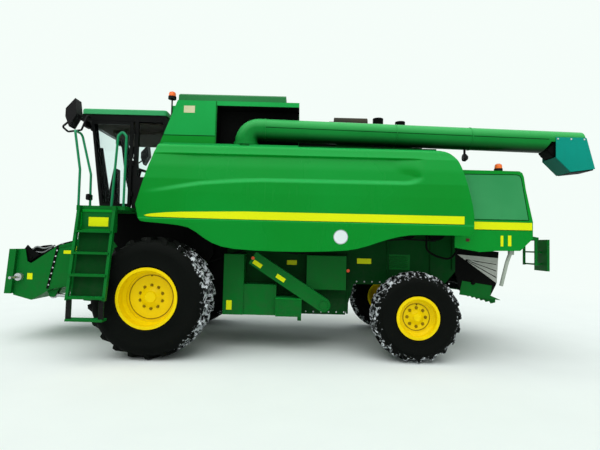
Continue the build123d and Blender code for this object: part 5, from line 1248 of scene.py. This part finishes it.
# Rear hood: folded sheet steel over the straw outlet, each side with a framed inset panel and the
# tail of the yellow stripe. Below it hangs the chopper in its housing, with galvanised ribbed side
# plates, a green tailboard, a pale prop on each side and hoses to the drives.
inset_green = weathered(
    "inset_green", (0.03, 0.27, 0.085), (0.045, 0.31, 0.105), amount=0.2, gloss_loss=0.4,
)
zinc_plate = weathered("zinc_plate", (
    0.4, 0.42, 0.38,
), (0.5, 0.52, 0.47), amount=0.35, top=2.0, gloss_loss=0.5,
                       grain=90.0, relief=0.08, shader={"Metallic": 0.2})
dress(zinc_plate, "chopper_sides")
# The chopper housing is dressed black for the dark space below the side plates: painted shade.
dress(black_steel, "chopper_housing")
dress(half_shade_green, "tailboard")
pale_paint = weathered(
    "pale_paint", (0.3, 0.36, 0.3), (0.4, 0.45, 0.38), amount=0.4, top=2.0, gloss_loss=0.5,
)
for side, hand in both_sides:
    outline = [
        (-2.60, 2.12), (-2.585, 2.80), (-3.40, 2.81), (-3.45, 2.795), (-3.475, 2.75), (-3.585, 2.125),
    ]
    panel = prism(outline, 1.289, 1.2925)
    bars = [
        pipe([(a, 1.291, b), (c, 1.291, d)], 0.006, sides=8)
        for (a, b), (c, d) in zip(outline, outline[1:] + outline[:1])
    ]
    stripe = prism([(-2.5, 1.970), (-3.638, 1.975), (-3.638, 2.087), (-2.5, 2.085)], 1.2895, 1.292)
    # A thin strip of the darkest shaded green under the hood stripe: painted shadow.
    stripe_shadow_outline = prism([(-2.5, 1.961), (-3.638, 1.966), (-3.638, 1.975), (-2.5, 1.970)], 1.2895, 1.2918)
    piece(f"hood_panel_{hand}", sided([panel], side), inset_green, "chassis", 0.001)
    piece(f"hood_panel_edge_{hand}", sided(bars, side), full_shade_green, "chassis", 0)
    piece(f"hood_stripe_{hand}", sided([stripe], side), stripe_yellow, "chassis", 0.0005)
    piece(f"hood_stripe_shadow_{hand}", sided([stripe_shadow_outline], side), full_shade_green, "chassis")

props = [
    pipe([(-3.367, 1.2, 1.655), (-3.306, 1.2, 1.492), (-3.216, 1.2, 1.128)], 0.028),
    block((-3.40, 1.17, 1.6), (-3.33, 1.23, 1.70)),
]
hose = pipe(
    [
        (-2.18, 0.9, 1.992), (-2.168, 0.9, 1.641), (-2.312, 0.9, 1.55), (-2.55, 0.9, 1.493),
        (-2.676, 0.9, 1.654), (-2.69, 0.9, 2.005),
    ],
    0.016, bend=0.12,
)
# Thin black lines beside the ribs of the galvanised side plates: painted shadows of the ribs.
rib_shadows = [
    pipe([(-2.87, 0.728, 1.502 - k * 0.006), (-3.366, 0.728, 1.431 - k * 0.105)], 0.0055, sides=8)
    for k in range(3)
]
piece("chopper_rib_shadows", rib_shadows + sided(rib_shadows, -1), black_steel, "chassis")
lens = block((-2.70, 1.287, 1.785), (-2.645, 1.2965, 1.83))
piece("hood_reflectors", [lens] + sided([lens], -1), dark_red, "chassis", 0.002)
piece("chopper_props", props + sided(props, -1), pale_paint, "chassis", 0.003)
piece("drive_hoses", [hose] + sided([hose], -1), black_steel, "chassis")

# Side drives: V-belts run over pulleys behind the shields; below hang the folded guard sheets,
# the ribbed toolbox and the long cover of the slanting chain drive.
dress(black_steel, "belt_drives")
dress(half_shade_green, "lower_guards", "drive_shield", "tow_hitch")
belt_rubber = weathered("belt_rubber", (
    0.004, 0.004, 0.004,
), (0.009, 0.009, 0.009), amount=0.3, top=2.0, gloss_loss=0.7,
                        specular=0.05)
for side, hand in both_sides:
    shapes = []
    for (
        xa, za, ra,
    ), (xb, zb, rb), y in (((1.45, 1.56, 0.24), (0.62, 1.78, 0.15), 0.81),
    ((0.62, 1.78, 0.15), (-0.15, 1.70, 0.17), 0.85),
                                          ((-0.15, 1.70, 0.17), (-1.33, 1.925, 0.15), 0.81),
                                          ((-1.33, 1.925, 0.15), (-1.90, 1.94, 0.13), 0.85),
                                          ((-1.90, 1.94, 0.13), (-2.35, 1.935, 0.14), 0.81)):
        run = Vector((xb - xa, 0, zb - za))
        off = run.normalized().cross(Vector((0, 1, 0)))
        for sign in (1, -1):
            a = Vector((xa, y, za)) + off * sign * (ra + 0.006)
            b = Vector((xb, y, zb)) + off * sign * (rb + 0.006)
            rise = off * sign * 0.012
            wide = Vector((0, 0.02, 0))
            shapes.append(([
                tuple(p)
                for p in (
                    a - rise - wide, a - rise + wide, a + rise + wide, a + rise - wide, b - rise - wide,
                    b - rise + wide, b + rise + wide, b + rise - wide,
                )
            ],
                           [
                               (0, 1, 2, 3), (7, 6, 5, 4), (0, 4, 5, 1), (1, 5, 6, 2), (2, 6, 7, 3),
                               (3, 7, 4, 0),
                           ]))
    piece(f"belts_{hand}", sided(shapes, side), belt_rubber, "chassis", 0.002)
toolbox_rib = block((0.16, 1.1, 0.585), (0.17, 1.106, 0.82))
repeated("toolbox_ribs", [toolbox_rib], half_shade_green, "chassis", 9, step=(-0.042, 0, 0))
piece(
    "toolbox_lid", [block((-0.215, 0.73, 0.834), (0.195, 1.112, 0.85))], green, "chassis", 0.004,
)
run = Vector((0.56 + 0.545, 0, 1.46 - 0.76)).normalized()
hub = turned([(1.1202, 0.0), (1.1202, 0.06), (1.128, 0.058), (1.128, 0.0)], (-0.545, 0, 0.76), steps=28)
hub_ring = turned(
    [(1.1202, 0.07), (1.126, 0.072), (1.126, 0.085), (1.1202, 0.087)], (-0.545, 0, 0.76), steps=36,
    closed=True,
)
piece("drive_shield_boss", [hub, hub_ring], half_shade_green, "chassis", 0)
for k, (x, z) in enumerate(((0.48, 1.362), (0.12, 1.156))):
    corner = Vector((x, 1.1202, z))
    across = Vector((-run.z, 0, run.x)) * 0.032
    ahead = run * 0.075
    lift = Vector((0, 0.002, 0))
    ends = [
        corner - ahead - across, corner + ahead - across, corner + ahead + across, corner - ahead + across,
    ]
    piece(
        f"plate_drive_{k}",
        [
            (
                [tuple(p) for p in ends] + [tuple(p + lift) for p in ends],
                [(3, 2, 1, 0), (4, 5, 6, 7), (0, 1, 5, 4), (1, 2, 6, 5), (2, 3, 7, 6), (3, 0, 4, 7)],
            )
        ],
        stripe_yellow, "chassis",
    )
reflectors = [(0.552, 1.4525, 1.1203), (-0.93, 1.285, 0.9603)]
for k, (x, z, y) in enumerate(reflectors):
    piece(
        f"reflector_{k}",
        [turned([(y, 0.0), (y, 0.027), (y + 0.007, 0.025), (y + 0.009, 0.0)], (x, 0, z), steps=24)],
        reflector_red, "chassis",
    )

# Lamps: amber flashing beacons on posts, with plastic domes.
amber = weathered(
    "amber_dome", (0.95, 0.16, 0.01), (1.0, 0.24, 0.02), amount=0.1, gloss_loss=0.1, grain=300.0,
    relief=0.05, shader={"Coat Weight": 0.5},
)
domes, bases = [], []
for x, y, z in ((1.895, 1.1, 3.9), (-3.18, 1.18, 2.875)):
    domes.append(
        turned(
            [
                (z + 0.041, 0.0), (z + 0.041, 0.056), (z + 0.085, 0.054), (z + 0.105, 0.046),
                (z + 0.118, 0.025), (z + 0.12, 0.0),
            ],
            (x, y, 0), "z", 32,
        )
    )
    bases.append(turned([(z, 0.0), (z, 0.062), (z + 0.04, 0.062), (z + 0.041, 0.0)], (x, y, 0), "z", 32))
bases.append(turned([(3.62, 0.0), (3.62, 0.012), (3.9, 0.012), (3.9, 0.0)], (1.895, 1.1, 0), "z", 12))
bases.append(
    turned([(2.8653, 0.0), (2.8653, 0.02), (2.875, 0.02), (2.875, 0.0)], (-3.18, 1.18, 0), "z", 12)
)
bases.append(block((1.84, 1.085, 3.63), (1.9, 1.115, 3.65)))
lamp_bodies = [
    block((3.3785, side * y - 0.085, 3.515), (3.43, side * y + 0.085, 3.599))
    for y in (0.48, 0.72)
    for side in (1, -1)
]
piece("beacon_domes", domes, amber, "chassis")
piece("beacon_bases", bases, dark_plastic, "chassis", replaces=("lamps",))
piece("roof_lamp_bodies", lamp_bodies, dark_plastic, "chassis", 0.008)
lenses = [
    block((3.4305, side * y - 0.07, 3.528), (3.434, side * y + 0.07, 3.588))
    for y in (0.48, 0.72)
    for side in (1, -1)
]
piece("roof_lamp_lenses", lenses, plain_steel, "chassis", 0.001)

bpy.context.view_layer.update()
